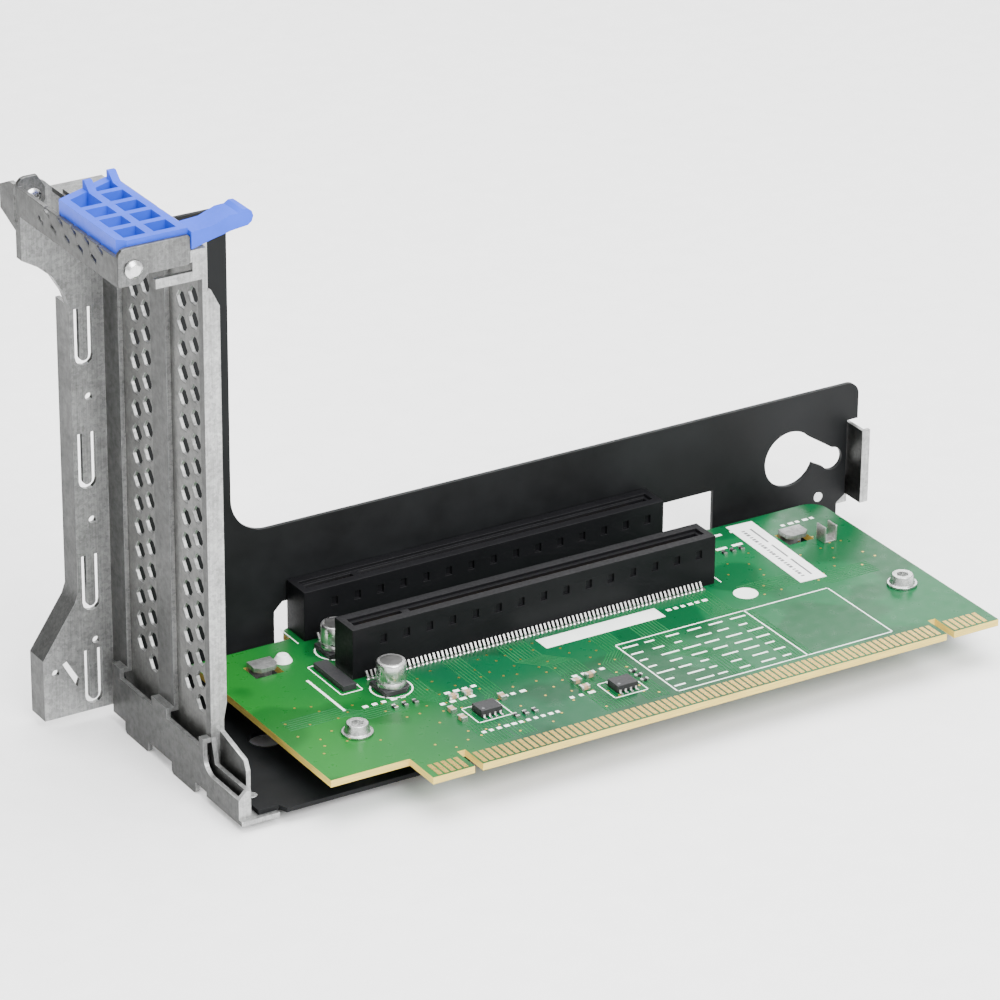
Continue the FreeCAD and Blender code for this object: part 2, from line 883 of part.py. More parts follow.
def build_carrier_plate():
    body = new_body("Carrier")
    leaf(
        body, "wall", "XZ_Plane", "-gauge", "gauge",
        polygon(
            ("carrier_start", "underside"),
            ("carrier_start", "arm_top"),
            ("arm_right", "arm_top"),
            ("arm_right", "low_top"),
            ("carrier_end", "low_top"),
            ("carrier_end", "carrier_step_height"),
            ("carrier_step_end", "carrier_step_height"),
            ("carrier_step_end", "carrier_toe_height"),
            ("carrier_toe_end", "carrier_toe_height - 1.5"),
            ("carrier_toe_end", "underside"),
        ),
        polygon(
            ("cutout_start", "cutout_bottom"),
            ("cutout_end", "cutout_bottom"),
            ("cutout_end", "cutout_top"),
            ("cutout_start + cutout_chamfer", "cutout_top"),
            ("cutout_start", "cutout_top - cutout_chamfer"),
        ),
    )
    hook_loops = []
    for place, depth in hook_places():
        hook_loops.append(
            rectangle(
                "%s - hook_width / 2" % place, "-%s - hook_nose - 2" % depth,
                "%s + hook_width / 2" % place, "-%s - gauge" % depth,
            )
        )
    leaf(
        body, "floor", "XY_Plane", "underside", "gauge",
        polygon(
            ("floor_start", "gauge"),
            ("floor_start", "-floor_front + floor_notch"),
            ("floor_notch_end", "-floor_front + floor_notch"),
            ("floor_notch_end + 0.8", "-floor_front"),
            ("floor_end", "-floor_front"),
            ("floor_end", "gauge"),
        ),
        circle("floor_hole_place", "-floor_hole_depth", "floor_hole_radius"),
        *[circle(x, "-" + y, "rivet_radius") for x, y, name in joint_places()],
        *[circle(place, "-screw_depth", "screw_radius + 0.3") for place in ("screw_near", "screw_far")],
        *hook_loops,
    )
    for number, (place, depth) in enumerate(hook_places()):
        leaf(
            body, "hook_post_%d" % number, "XZ_Plane", depth, "gauge",
            rectangle(
                "%s - hook_width / 2" % place, "underside",
                "%s + hook_width / 2" % place, "board_top + hook_slack + gauge",
            ),
        )
        leaf(
            body, "hook_nose_%d" % number, "XY_Plane", "board_top + hook_slack", "gauge",
            polygon(
                ("%s - hook_width / 2" % place, "-" + depth),
                ("%s - hook_width / 2" % place, "-%s - hook_nose" % depth),
                ("%s - hook_width / 2 + 1.2" % place, "-%s - hook_nose - 1.2" % depth),
                ("%s + hook_width / 2 - 1.2" % place, "-%s - hook_nose - 1.2" % depth),
                ("%s + hook_width / 2" % place, "-%s - hook_nose" % depth),
                ("%s + hook_width / 2" % place, "-" + depth),
            ),
        )
    cut(
        body, "keyhole_mouth", "XZ_Plane", "0", "gauge",
        circle("keyhole_place", "keyhole_height", "keyhole_radius"),
    )
    cut(
        body, "keyhole_throat", "XZ_Plane", "0", "gauge",
        polygon(
            ("keyhole_place + keyhole_radius * 0.35", "keyhole_height + keyhole_radius * 0.93"),
            ("keyhole_place + keyhole_radius * 0.93", "keyhole_height - keyhole_radius * 0.35"),
            (
                "keyhole_slot_end - keyhole_slot_radius",
                "keyhole_height - keyhole_slot_rise - keyhole_slot_radius",
            ),
            (
                "keyhole_slot_end - keyhole_slot_radius",
                "keyhole_height - keyhole_slot_rise + keyhole_slot_radius",
            ),
        ),
    )
    cut(
        body, "keyhole_slot", "XZ_Plane", "0", "gauge",
        circle(
            "keyhole_slot_end - keyhole_slot_radius",
            "keyhole_height - keyhole_slot_rise", "keyhole_slot_radius",
        ),
    )
    cut(
        body, "guide_rivet_hole", "XZ_Plane", "0", "gauge",
        circle("guide_leaf_start + 3.5", "guide_leaf_top / 2 - 1.2", "rivet_radius"),
    )
    rounded(
        body, "inner_corner", "arm_fillet", ALONG_Y,
        [(size("arm_right"), 0, size("low_top"))],
    )
    rounded(
        body, "outer_corners", "carrier_corner", ALONG_Y,
        [
            (size("carrier_end"), 0, size("low_top")),
            (size("arm_right"), 0, size("arm_top")),
        ],
    )
    return node(body, "carrier_plate")


def hook_places():
    return (("hook_near", "hook_near_depth"), ("hook_far", "hook_far_depth"))


def build_end_guide():
    """Folded angle at the carrier's end: a leaf behind the wall and a blade past its edge."""
    body = new_body("EndGuide")
    blade = "(carrier_step_end + guide_gap)"
    leaf(
        body, "blade", "YZ_Plane", blade, "gauge",
        rectangle("-guide_reach", "guide_bottom", "2 * gauge", "guide_top"),
    )
    leaf(
        body, "leaf", "XZ_Plane", "-2 * gauge", "gauge",
        rectangle("guide_leaf_start", "guide_bottom - 2.4", blade + " + gauge", "guide_leaf_top"),
        circle("guide_leaf_start + 3.5", "guide_leaf_top / 2 - 1.2", "rivet_radius"),
    )
    leaf(
        body, "turned_edge", "XZ_Plane", "guide_reach - gauge", "gauge",
        rectangle(blade, "guide_bottom", blade + " + guide_turn", "guide_top"),
    )
    return node(body, "end_guide")


# ---------------------------------------------------------------- riser board


def key_notch(place):
    """Corners of one open notch in the gold edge, in the outline's order."""
    left = "%s - key_notch_width / 2" % place
    right = "%s + key_notch_width / 2" % place
    top = "-board_front + key_notch_depth"
    return [(left, "-board_front"), (left, top), (right, top), (right, "-board_front")]


def build_board():
    body = new_body("Board")
    outline = [
        ("board_left", "-board_back"),
        ("board_left", "-board_heel"),
        ("heel_end", "-board_heel"),
        ("heel_end", "-board_front"),
    ]
    outline += key_notch("key_notch_near")
    outline += key_notch("key_notch_far")
    outline += [
        ("board_right", "-board_front"),
        ("board_right", "-board_back"),
        ("tab_end", "-board_back"),
        ("tab_end", "-tab_back"),
        ("tab_start", "-tab_back"),
        ("tab_start", "-board_back"),
    ]
    holes = [circle(place, "-screw_depth", "board_hole_radius") for place in ("screw_near", "screw_far")]
    holes.append(circle("pushpin_place", "-pushpin_depth", "pushpin_shank"))
    for place, depth in hook_places():
        holes.append(
            rectangle(
                "%s - hook_width / 2 - hook_slack" % place, "-%s - hook_nose - 2" % depth,
                "%s + hook_width / 2 + hook_slack" % place, "-%s + hook_slack" % depth,
            )
        )
    leaf(
        body, "laminate", "XY_Plane", "board_top - board_gauge", "board_gauge",
        polygon(*outline), *holes,
    )
    rounded(
        body, "board_end", "board_corner", ALONG_Z,
        [(size("board_right"), -size("board_back"), 0)],
    )
    rounded(
        body, "tab_corners", "tab_corner", ALONG_Z,
        [
            (size("tab_start"), -size("tab_back"), 0),
            (size("tab_end"), -size("tab_back"), 0),
        ],
    )
    return node(body, "riser_board")


def solid_box(x, y, z, length, width, height):
    return Part.makeBox(length, width, height, FreeCAD.Vector(x, y, z))


def shape_node(label, solids):
    """A node whose solids come from a loop."""
    feature = doc.addObject("Part::Feature", label)
    feature.Shape = Part.makeCompound(solids)
    return node(feature, label)


def build_edge_contacts():
    """Rows of gold pads on both faces of the board's front edge."""
    pitch = size("gold_pitch")
    width = size("gold_width")
    gauge = size("gold_gauge")
    top = size("board_top")
    low = -size("board_front") + size("gold_setback")
    clear = size("key_notch_width") / 2 + 0.3
    notches = (size("key_notch_near"), size("key_notch_far"))
    pads = []
    place = size("heel_end") + pitch
    while place + width < size("board_right") - pitch:
        middle = place + width / 2
        if all(abs(middle - notch) > clear + width / 2 for notch in notches):
            for level in (top, top - size("board_gauge") - gauge):
                pads.append(solid_box(place, low, level, width, size("gold_length"), gauge))
        place += pitch
    return shape_node("edge_contacts", pads)


# ---------------------------------------------------------------- card slots


def slot_back(number):
    return "(slot_back_gap + %d * slot_pitch)" % number


def build_slot_housing(label, number):
    """Moulded housing of one card slot, with key, lead-in and contact windows."""
    body = new_body("SlotHousing%d" % number)
    back = slot_back(number)
    front = "(%s + slot_width)" % back
    top = "(board_top + slot_height)"
    leaf(
        body, "block", "XY_Plane", "board_top", "slot_height",
        rectangle("slot_start", "-" + front, "slot_start + slot_length", "-" + back),
    )
    middle = "(%s + slot_width / 2)" % back
    key = "(slot_start + key_place)"
    for name, left, right in (
        ("short_mouth", "slot_start + mouth_end", key + " - key_width / 2"),
        ("long_mouth", key + " + key_width / 2", "slot_start + slot_length - mouth_end"),
    ):
        cut(
            body, name, "XY_Plane", top, "mouth_depth",
            rectangle(left, "-%s - mouth_width / 2" % middle, right, "-%s + mouth_width / 2" % middle),
        )
    cut(
        body, "lead_in", "XY_Plane", top, "lead_in",
        rectangle(
            "slot_start + mouth_end - lead_in", "-%s - mouth_width / 2 - lead_in" % middle,
            "slot_start + slot_length - mouth_end + lead_in", "-%s + mouth_width / 2 + lead_in" % middle,
        ),
    )
    relief = cut(
        body, "relief", "XZ_Plane", front, "relief_depth",
        rectangle(
            "slot_start + slot_length - 3.4 - relief_width", "board_top + relief_rise",
            "slot_start + slot_length - 3.4", "board_top + relief_rise + relief_height",
        ),
    )
    count = int(size("relief_count"))
    pattern = repeat(
        body, "reliefs", relief, "H_Axis", "%d * relief_pitch" % (count - 1), count,
    )
    pattern.Reversed = True
    return node(body, label)


def build_slot_contacts(label, number):
    """Solder tails of one card slot, one row in front of the housing and one behind."""
    back = size("slot_back_gap") + number * size("slot_pitch")
    front = back + size("slot_width")
    gauge = size("tail_gauge")
    reach = size("tail_reach")
    rows = [-front - reach]
    if number:
        rows.append(-back)
    tails = []
    for step in range(int(size("tail_count"))):
        x = size("slot_start") + size("tail_start") + step * size("tail_pitch")
        for y in rows:
            tails.append(solid_box(x, y, size("board_top"), size("tail_width"), reach, gauge))
    return shape_node(label, tails)


# ---------------------------------------------------------------- latch


def latch_bend_points():
    """Rounded upper corner between the outer web and an arm, seen along Y."""
    return [
        (
            "-latch_out + latch_bend - latch_bend * cos(%d deg)" % angle,
            "latch_top - latch_bend + latch_bend * sin(%d deg)" % angle,
        )
        for angle in (90, 60, 30, 0)
    ]


def build_latch_frame():
    """U-shaped steel frame of the latch: outer web, front arm and rear arm."""
    body = new_body("LatchFrame")
    web = "-latch_out"
    front = "-wall_front - seat_gap - gauge"
    leaf(
        body, "web", "YZ_Plane", web, "gauge",
        rectangle(front, "latch_bottom", "-latch_back", "latch_top - latch_bend"),
    )
    for row, (height, shift) in enumerate((("latch_top - 3.4", "5"), ("latch_bottom + 1.8", "7.8"))):
        left = "-wall_front + " + shift
        slot = cut(
            body, "web_slot_%d" % row, "YZ_Plane", web + " + gauge", "gauge",
            polygon(
                (left, height),
                (left + " + latch_slot_length", height + " + 0.9"),
                (left + " + latch_slot_length", height + " + 0.9 + latch_slot_height"),
                (left, height + " + latch_slot_height"),
            ),
        )
        repeat(body, "web_slots_%d" % row, slot, "H_Axis", "4 * latch_slot_pitch", 5)
    leaf(
        body, "front_arm", "XZ_Plane", "wall_front + seat_gap", "gauge",
        polygon(
            (web, "latch_bottom"),
            ("-pivot_out + 1.6", "latch_bottom"),
            ("-pivot_out + 3.2", "arm_bottom"),
            ("-arm_end - 0.6", "arm_bottom"),
            ("-arm_end", "arm_bottom + 0.6"),
            ("-arm_end", "latch_top - 0.4"),
            ("-arm_end - 0.4", "latch_top"),
            *latch_bend_points(),
        ),
        circle("-pivot_out", "pivot_height", "rivet_radius + rivet_clearance"),
    )
    leaf(
        body, "rear_arm", "XZ_Plane", "latch_back", "gauge",
        polygon(
            (web, "latch_bottom"),
            ("-pivot_out + 1.4", "latch_bottom"),
            ("-pivot_out + 2.9", "pivot_height - 1"),
            ("-pivot_out + 2.9", "pivot_height + 1.6"),
            ("-pivot_out + 1.2", "latch_top"),
            *latch_bend_points(),
        ),
        circle("-pivot_out", "pivot_height", "rivet_radius + rivet_clearance"),
    )
    return node(body, "latch_frame")


def build_latch_lever():
    """Moulded latch insert: an open grid of rails and ribs with a thumb lever."""
    body = new_body("LatchLever")
    left = "(latch_out - gauge)"
    front = "(wall_front + seat_gap)"
    middle = "((latch_out - gauge + lever_right) / 2)"
    middle_back = "((lever_back_left + lever_back_right) / 2)"
    leaf(
        body, "plate", "XY_Plane", "lever_bottom", "lever_depth",
        polygon(
            ("-" + left, "-%s + lever_corner" % front),
            ("-%s + lever_corner" % left, "-" + front),
            ("-lever_right", "-" + front),
            ("-lever_right", "-lever_back_right"),
            ("-" + left, "-lever_back_left"),
        ),
    )
    run = "((lever_back_left - lever_back_right) / (latch_out - gauge - lever_right))"
    for column in range(2):
        outer = "(%s - rail_width)" % (left if column == 0 else middle + " + rail_width / 2")
        inner = "(%s)" % (middle + " + rail_width / 2" if column == 0 else "lever_right + rail_width")
        for number in range(5):
            near = "(%s - lever_corner - %d * rib_pitch)" % (front, number)
            far = "(%s - (%d) * rib_pitch)" % (front, number + 1)
            outer_limit = "(lever_back_right + rail_width * 1.3 + (%s - lever_right) * %s)" % (outer, run)
            inner_limit = "(lever_back_right + rail_width * 1.3 + (%s - lever_right) * %s)" % (inner, run)
            last = 3 if column == 0 else 4
            if number > last:
                continue
            if number < last:
                outer_limit = inner_limit = far
            cut(
                body, "pocket_%d_%d" % (column, number), "XY_Plane", "lever_top", "lever_depth",
                polygon(
                    ("-" + outer, "-" + near),
                    ("-" + inner, "-" + near),
                    ("-" + inner, "-" + inner_limit),
                    ("-" + outer, "-" + outer_limit),
                ),
            )
    for name, centre, back in (
        ("middle_tooth", middle, middle_back),
        ("right_tooth", "(lever_right + rail_width / 2)", "(lever_back_right + 0.8)"),
    ):
        leaf(
            body, name, "YZ_Plane", "-%s - rail_width / 2" % centre, "rail_width",
            polygon(
                ("-%s - 0.6" % back, "lever_top - 0.5"),
                ("-%s - 0.6" % back, "lever_top + tooth_height"),
                ("-%s - 1.4" % back, "lever_top + tooth_height"),
                ("-%s - tooth_length - 1.4" % back, "lever_top - 0.5"),
            ),
        )
    tip = ("(handle_reach - handle_tip_radius)", "(lever_bottom + handle_rise + handle_tip_radius)")
    nose = [
        (
            "%s + handle_tip_radius * cos(%d deg)" % (tip[0], angle),
            "%s + handle_tip_radius * sin(%d deg)" % (tip[1], angle),
        )
        for angle in (-70, -35, 0, 35, 70, 105, 140)
    ]
    leaf(
        body, "thumb_lever", "XZ_Plane", "handle_front - handle_width", "handle_width",
        polygon(
            ("-lever_right", "lever_bottom - 0.4"),
            ("handle_reach * 0.15", "lever_bottom + handle_rise * 0.4"),
            ("handle_reach * 0.55", "lever_bottom + handle_rise * 0.85"),
            *nose,
            ("handle_reach * 0.5", "lever_bottom + handle_rise + handle_tip_radius * 1.6"),
            ("handle_reach * 0.15", "lever_top - 0.1"),
            ("-lever_right", "lever_top - 0.4"),
        ),
    )
    return node(body, "latch_lever")


def rivet(name, middle_from, middle_to, head_side):
    """Half section of a rivet, turned about its own axis along Y."""
    radius = size("rivet_radius")
    head = size("rivet_head_radius")
    height = size("rivet_head_height")
    tail = height * 0.7
    low, high = middle_from, middle_to
    if head_side < 0:
        low_head, high_head = height, tail
    else:
        low_head, high_head = tail, height
    points = [
        (0, low - low_head),
        (head * 0.6, low - low_head),
        (head, low - low_head * 0.45),
        (head, low),
        (radius, low),
        (radius, high),
        (head, high),
        (head, high + high_head * 0.45),
        (head * 0.6, high + high_head),
        (0, high + high_head),
    ]
    wire = Part.makePolygon([FreeCAD.Vector(x, y, 0) for x, y in points + points[:1]])
    turned = Part.Face(wire).revolve(FreeCAD.Vector(0, 0, 0), ALONG_Y, 360)
    feature = doc.addObject("Part::Feature", name)
    feature.Shape = turned
    return feature


def build_latch_rivets():
    front = -size("wall_front")
    gauge = size("gauge")
    outer_face = front - size("seat_gap") - gauge
    near = rivet("FrontRivet", outer_face - 0.05, front + gauge, -1)
    far = rivet("RearRivet", -size("latch_back") - gauge - 0.05, gauge, 1)
    for thing in (near, far):
        put(thing, "-pivot_out", "0", "pivot_height")
    return node(near, "latch_rivet_front"), node(far, "latch_rivet_rear")


# ---------------------------------------------------------------- fasteners


def joint_rivet(name, x, y, low, high):
    """A flush rivet along Z whose head is on its lower side."""
    shank = rod(name + "Shank", x, y, low, "rivet_radius", "(%s) - (%s)" % (high, low))
    head = doc.addObject("Part::Cone", name + "Head")
    bind(
        head, Radius1="joint_rivet_head * 0.8", Radius2="joint_rivet_head",
        Height="joint_rivet_height",
    )
    put(head, x, y, "%s - joint_rivet_height" % low)
    return fused(name, shank, head)


def build_carrier_rivets():
    """One rivet through the tab above the floor, one through the tab below it."""
    spans = (("underside", "underside + 2 * gauge"), ("underside - gauge", "floor_top"))
    pieces = [
        joint_rivet("JointRivet%d" % number, x, "-" + y, low, high)
        for number, ((x, y, name), (low, high)) in enumerate(zip(joint_places(), spans))
    ]
    return node(group("CarrierRivets", *pieces), "carrier_rivets")


def build_guide_rivet():
    radius = size("rivet_radius")
    gauge = size("gauge")
    head = size("joint_rivet_head")
    height = size("joint_rivet_height")
    points = [
        (0, 0), (radius, 0), (radius, 2 * gauge), (head, 2 * gauge),
        (head * 0.8, 2 * gauge + height), (0, 2 * gauge + height),
    ]
    wire = Part.makePolygon([FreeCAD.Vector(x, y, 0) for x, y in points + points[:1]])
    feature = doc.addObject("Part::Feature", "GuideRivet")
    feature.Shape = Part.Face(wire).revolve(FreeCAD.Vector(0, 0, 0), ALONG_Y, 360)
    put(feature, "guide_leaf_start + 3.5", "0", "guide_leaf_top / 2 - 1.2")
    return node(feature, "guide_rivet")


def build_standoffs():
    """Hexagonal spacers pressed into the carrier floor under the board's screws."""
    pieces = []
    for name, place in (("Near", "screw_near"), ("Far", "screw_far")):
        prism = doc.addObject("Part::Prism", name + "Hexagon")
        prism.Polygon = 6
        bind(
            prism, Circumradius="standoff_flat / 1.7320508",
            Height="board_top - board_gauge - underside - gauge",
        )
        put(prism, place, "-screw_depth", "underside + gauge")
        bore = rod(
            name + "Bore", place, "-screw_depth", "underside", "screw_radius",
            "board_top - underside",
        )
        pieces.append(less(name + "Standoff", prism, bore))
    return node(group("Standoffs", *pieces), "standoffs")


def board_screw(name, place):
    washer = rod(name + "Washer", place, "-screw_depth", "board_top", "washer_radius", "washer_gauge")
    head = doc.addObject("Part::Cone", name + "Head")
    bind(head, Radius1="head_radius", Radius2="head_radius * 0.82", Height="head_height")
    put(head, place, "-screw_depth", "board_top + washer_gauge")
    shank = rod(
        name + "Shank", place, "-screw_depth", "underside + gauge + 0.4", "screw_radius - 0.03",
        "board_top - underside - gauge",
    )
    drive = doc.addObject("Part::Prism", name + "Drive")
    drive.Polygon = 6
    bind(drive, Circumradius="drive_radius", Height="drive_depth")
    put(drive, place, "-screw_depth", "board_top + washer_gauge + head_height - drive_depth")
    return less(name, fused(name + "Solid", washer, head, shank), drive)


def build_board_screws():
    pieces = [board_screw("NearScrew", "screw_near"), board_screw("FarScrew", "screw_far")]
    return node(group("BoardScrews", *pieces), "board_screws")


def build_push_pin():
    """Round plastic fastener with a domed head and a slim shank through the board."""
    head = doc.addObject("Part::Cone", "PushPinHead")
    bind(head, Radius1="pushpin_radius", Radius2="pushpin_radius * 0.55", Height="pushpin_height")
    put(head, "pushpin_place", "-pushpin_depth", "board_top")
    shank = rod(
        "PushPinShank", "pushpin_place", "-pushpin_depth", "board_top - board_gauge - 1",
        "pushpin_shank - 0.02", "board_gauge + 1 + pushpin_height / 2",
    )
    return node(fused("PushPin", head, shank), "push_pin")


# ---------------------------------------------------------------- board components


def build_capacitor(label, place, depth):
    """Surface-mount aluminium capacitor: a chamfered base and a can with a rolled groove."""
    body = new_body(label + "_base")
    half = "can_base_side / 2"
    leaf(
        body, "base", "XY_Plane", "board_top", "can_base_height",
        polygon(
            ("%s - %s" % (place, half), "-%s - %s" % (depth, half)),
            ("%s + %s - 1.5" % (place, half), "-%s - %s" % (depth, half)),
            ("%s + %s" % (place, half), "-%s - %s + 1.5" % (depth, half)),
            ("%s + %s" % (place, half), "-%s + %s - 1.5" % (depth, half)),
            ("%s + %s - 1.5" % (place, half), "-%s + %s" % (depth, half)),
            ("%s - %s" % (place, half), "-%s + %s" % (depth, half)),
        ),
    )
    node(body, label + "_base")
    radius = size("can_radius")
    height = size("can_height")
    points = [
        (0, 0), (radius, 0), (radius, height * 0.16), (radius * 0.93, height * 0.23),
        (radius, height * 0.3), (radius, height * 0.93), (radius * 0.93, height), (0, height),
    ]
    wire = Part.makePolygon([FreeCAD.Vector(x, 0, z) for x, z in points + points[:1]])
    feature = doc.addObject("Part::Feature", label + "_can")
    feature.Shape = Part.Face(wire).revolve(FreeCAD.Vector(0, 0, 0), ALONG_Z, 360)
    put(feature, place, "-" + depth, "board_top + can_base_height")
    return node(feature, label + "_can")


def build_chip(label, place, depth):
    """Small outline package and its eight gull-wing leads."""
    body = doc.addObject("Part::Box", label)
    bind(body, Length="chip_length", Width="chip_width", Height="chip_height")
    put(body, "%s - chip_length / 2" % place, "-%s - chip_width / 2" % depth, "board_top + chip_lift")
    node(body, label)
    x0 = size(place)
    y0 = -size(depth)
    top = size("board_top")
    gauge = size("lead_gauge")
    reach = size("lead_reach")
    half = size("chip_width") / 2
    leads = []
    for step in range(4):
        x = x0 + (step - 1.5) * size("lead_pitch") - size("lead_width") / 2
        for side in (-1, 1):
            foot_y = y0 - half - reach if side < 0 else y0 + half + gauge
            rise_y = y0 - half - gauge if side < 0 else y0 + half
            foot = solid_box(x, foot_y, top, size("lead_width"), reach - gauge, gauge)
            rise = solid_box(x, rise_y, top, size("lead_width"), gauge, size("chip_height") / 2)
            leads.append(foot.fuse(rise).removeSplitter())
    return shape_node(label + "_leads", leads)


def passive_rows():
    """Places of the small chips: (x, y, along Y?) counted from the two packages."""
    near_x = size("chip_near_place")
    near_y = -size("chip_near_depth")
    far_x = size("chip_far_place")
    far_y = -size("chip_far_depth")
    capacitors = [
        (near_x - 3.0, near_y + 8.6, False), (near_x + 0.4, near_y + 8.6, False),
        (near_x - 6.2, near_y + 3.6, True), (near_x - 6.2, near_y - 0.6, True),
        (near_x + 5.6, near_y + 3.4, True), (far_x - 7.2, far_y + 6.4, False),
        (far_x - 7.2, far_y + 3.2, False), (far_x - 3.4, far_y + 7.4, False),
    ]
    resistors = [(near_x + 4.0 + 2.2 * step, near_y - 4.8, True) for step in range(3)]
    resistors += [(far_x + 5.4, far_y + 4.6 - 2.2 * step, False) for step in range(3)]
    near_screw = size("screw_near") + 12
    below_can = -size("can_front_depth") - 8
    resistors += [(near_screw + 2.4 * step, below_can, True) for step in range(3)]
    near_label = size("label_place") - 7.5
    label_row = -size("label_depth") - 10.8
    resistors += [(near_label + 2.2 * step, label_row, True) for step in range(3)]
    return capacitors, resistors


def chip_box(spot, length, width, height):
    x, y, along_y = spot
    if along_y:
        length, width = width, length
    return solid_box(x - length / 2, y - width / 2, size("board_top"), length, width, height)


def build_passives():
    capacitors, resistors = passive_rows()
    shape_node(
        "chip_capacitors",
        [
            chip_box(spot, size("chipcap_length"), size("chipcap_width"), size("chipcap_height"))
            for spot in capacitors
        ],
    )
    shape_node(
        "chip_resistors",
        [
            chip_box(spot, size("resistor_length"), size("resistor_width"), size("resistor_height"))
            for spot in resistors
        ],
    )


def build_small_parts():
    bank = block(
        "ResistorBank", "bank_place", "-bank_depth - bank_length", "board_top",
        "bank_width", "bank_length", "bank_height",
    )
    node(bank, "resistor_bank")
    outer = block(
        "ClipOuter", "clip_place", "-clip_depth - clip_width", "board_top",
        "clip_width", "clip_width", "clip_height",
    )
    inner = block(
        "ClipInner", "clip_place + clip_gauge", "-clip_depth - clip_width - 1", "board_top + clip_gauge",
        "clip_width - 2 * clip_gauge", "clip_width + 2", "clip_height",
    )
    node(less("GroundClip", outer, inner), "ground_clip")
    label = doc.addObject("Part::Box", "BoardLabel")
    bind(label, Length="label_width", Width="label_length", Height="label_gauge")
    label.Placement.Rotation = FreeCAD.Rotation(ALONG_Z, 0)
    bind(label, Placement__Rotation__Angle="-label_turn")
    put(label, "label_place - label_length * sin(label_turn)", "-label_depth - label_length", "board_top")
    node(label, "board_label")


# ---------------------------------------------------------------- build, check and write

build_rear_bracket()
build_slot_cover("slot_cover_rear", 0)
build_slot_cover("slot_cover_front", 1)
build_carrier_plate()
build_end_guide()
build_board()
build_edge_contacts()
build_slot_housing("slot_housing_rear", 0)
build_slot_housing("slot_housing_front", 1)
build_slot_contacts("slot_contacts_rear", 0)
build_slot_contacts("slot_contacts_front", 1)
build_latch_frame()
build_latch_lever()
build_latch_rivets()
build_carrier_rivets()
build_guide_rivet()
build_standoffs()
build_board_screws()
build_push_pin()
build_capacitor("capacitor_rear", "can_rear_place", "can_rear_depth")
build_capacitor("capacitor_front", "can_front_place", "can_front_depth")
build_chip("chip_near", "chip_near_place", "chip_near_depth")
build_chip("chip_far", "chip_far_place", "chip_far_depth")
build_passives()
build_small_parts()
doc.recompute()

for thing in doc.Objects:
    if "Invalid" in thing.State or "Error" in thing.State:
        raise RuntimeError("%s did not recompute" % thing.Name)
for thing in nodes:
    if thing.Shape.isNull() or not thing.Shape.isValid():
        raise RuntimeError("%s has no valid shape" % thing.Label)

os.makedirs("parts", exist_ok=True)
for thing in nodes:
    thing.Shape.exportStep(os.path.join("parts", thing.Label + ".step"))
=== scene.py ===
import json
import math

import bmesh
import bpy
from bpy.props import FloatProperty, FloatVectorProperty, IntProperty, PointerProperty
from mathutils import Matrix, Vector


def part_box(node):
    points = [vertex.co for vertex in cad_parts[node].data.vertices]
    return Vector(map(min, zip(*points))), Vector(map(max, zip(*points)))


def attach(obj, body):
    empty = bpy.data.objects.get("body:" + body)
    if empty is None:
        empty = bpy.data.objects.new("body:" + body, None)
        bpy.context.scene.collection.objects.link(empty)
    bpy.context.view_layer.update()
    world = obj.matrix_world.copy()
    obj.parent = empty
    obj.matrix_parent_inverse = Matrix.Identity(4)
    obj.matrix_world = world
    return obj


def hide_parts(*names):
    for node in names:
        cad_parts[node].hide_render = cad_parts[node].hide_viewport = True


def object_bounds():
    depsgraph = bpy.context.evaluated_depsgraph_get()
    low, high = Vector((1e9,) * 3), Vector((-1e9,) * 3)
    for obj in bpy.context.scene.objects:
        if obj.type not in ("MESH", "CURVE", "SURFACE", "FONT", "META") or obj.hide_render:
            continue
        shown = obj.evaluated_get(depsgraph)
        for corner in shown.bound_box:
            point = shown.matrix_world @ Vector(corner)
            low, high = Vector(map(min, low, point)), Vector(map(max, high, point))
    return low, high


bl_info = {
    "name": "Riser Card Finish",
    "version": (1, 0, 0),
    "blender": (4, 5, 0),
    "location": "3D View > Sidebar > Riser Card",
    "description": "Dresses the riser card's frame with finished surfaces and fine detail",
    "category": "Object",
}

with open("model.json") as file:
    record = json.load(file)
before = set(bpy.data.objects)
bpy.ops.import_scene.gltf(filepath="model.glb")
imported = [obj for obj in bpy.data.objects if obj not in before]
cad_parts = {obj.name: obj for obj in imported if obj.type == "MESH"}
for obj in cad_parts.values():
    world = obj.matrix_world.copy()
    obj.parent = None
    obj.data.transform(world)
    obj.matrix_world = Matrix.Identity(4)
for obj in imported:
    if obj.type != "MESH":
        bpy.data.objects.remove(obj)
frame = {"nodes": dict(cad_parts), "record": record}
CAD_BOX = [list(corner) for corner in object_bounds()]

MM = 0.001                      # metres in a millimetre
MERGE = 0.002 * MM              # corners nearer to each other than this become one
SHARP = math.radians(30.0)      # edges that turn by more than this are rounded, not blended
FILM = 0.02 * MM                # thickness of label print and of the dull spots on cans and chips
ABOVE = 0.004 * MM              # keeps thin prints clear of the lacquer
LACQUER_MIRROR = 0.14           # how strongly the board's lacquer and the black coating reflect
TRACK_JOG = 3.5 * MM            # sideways step of the tracks that run along the slots


# ------------------------------------------------------------------ places read from the frame


def low(node):
    return Vector(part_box(node)[0])


def high(node):
    return Vector(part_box(node)[1])


def middle(node):
    return (low(node) + high(node)) / 2


BOARD_TOP = high("riser_board").z
BOARD_LEFT = low("riser_board").x
BOARD_RIGHT = high("riser_board").x
BOARD_FRONT = low("riser_board").y


# ------------------------------------------------------------------ sizes and colours


def length(name, default, description):
    """A size in metres whose default is given in millimetres."""
    return FloatProperty(
        name=name, description=description, default=default * MM,
        min=0.0, unit="LENGTH", precision=5,
    )


def colour(name, default, description):
    """A colour of linear red, green and blue."""
    return FloatVectorProperty(
        name=name, description=description, default=default,
        subtype="COLOR", size=3, min=0.0, max=1.0,
    )


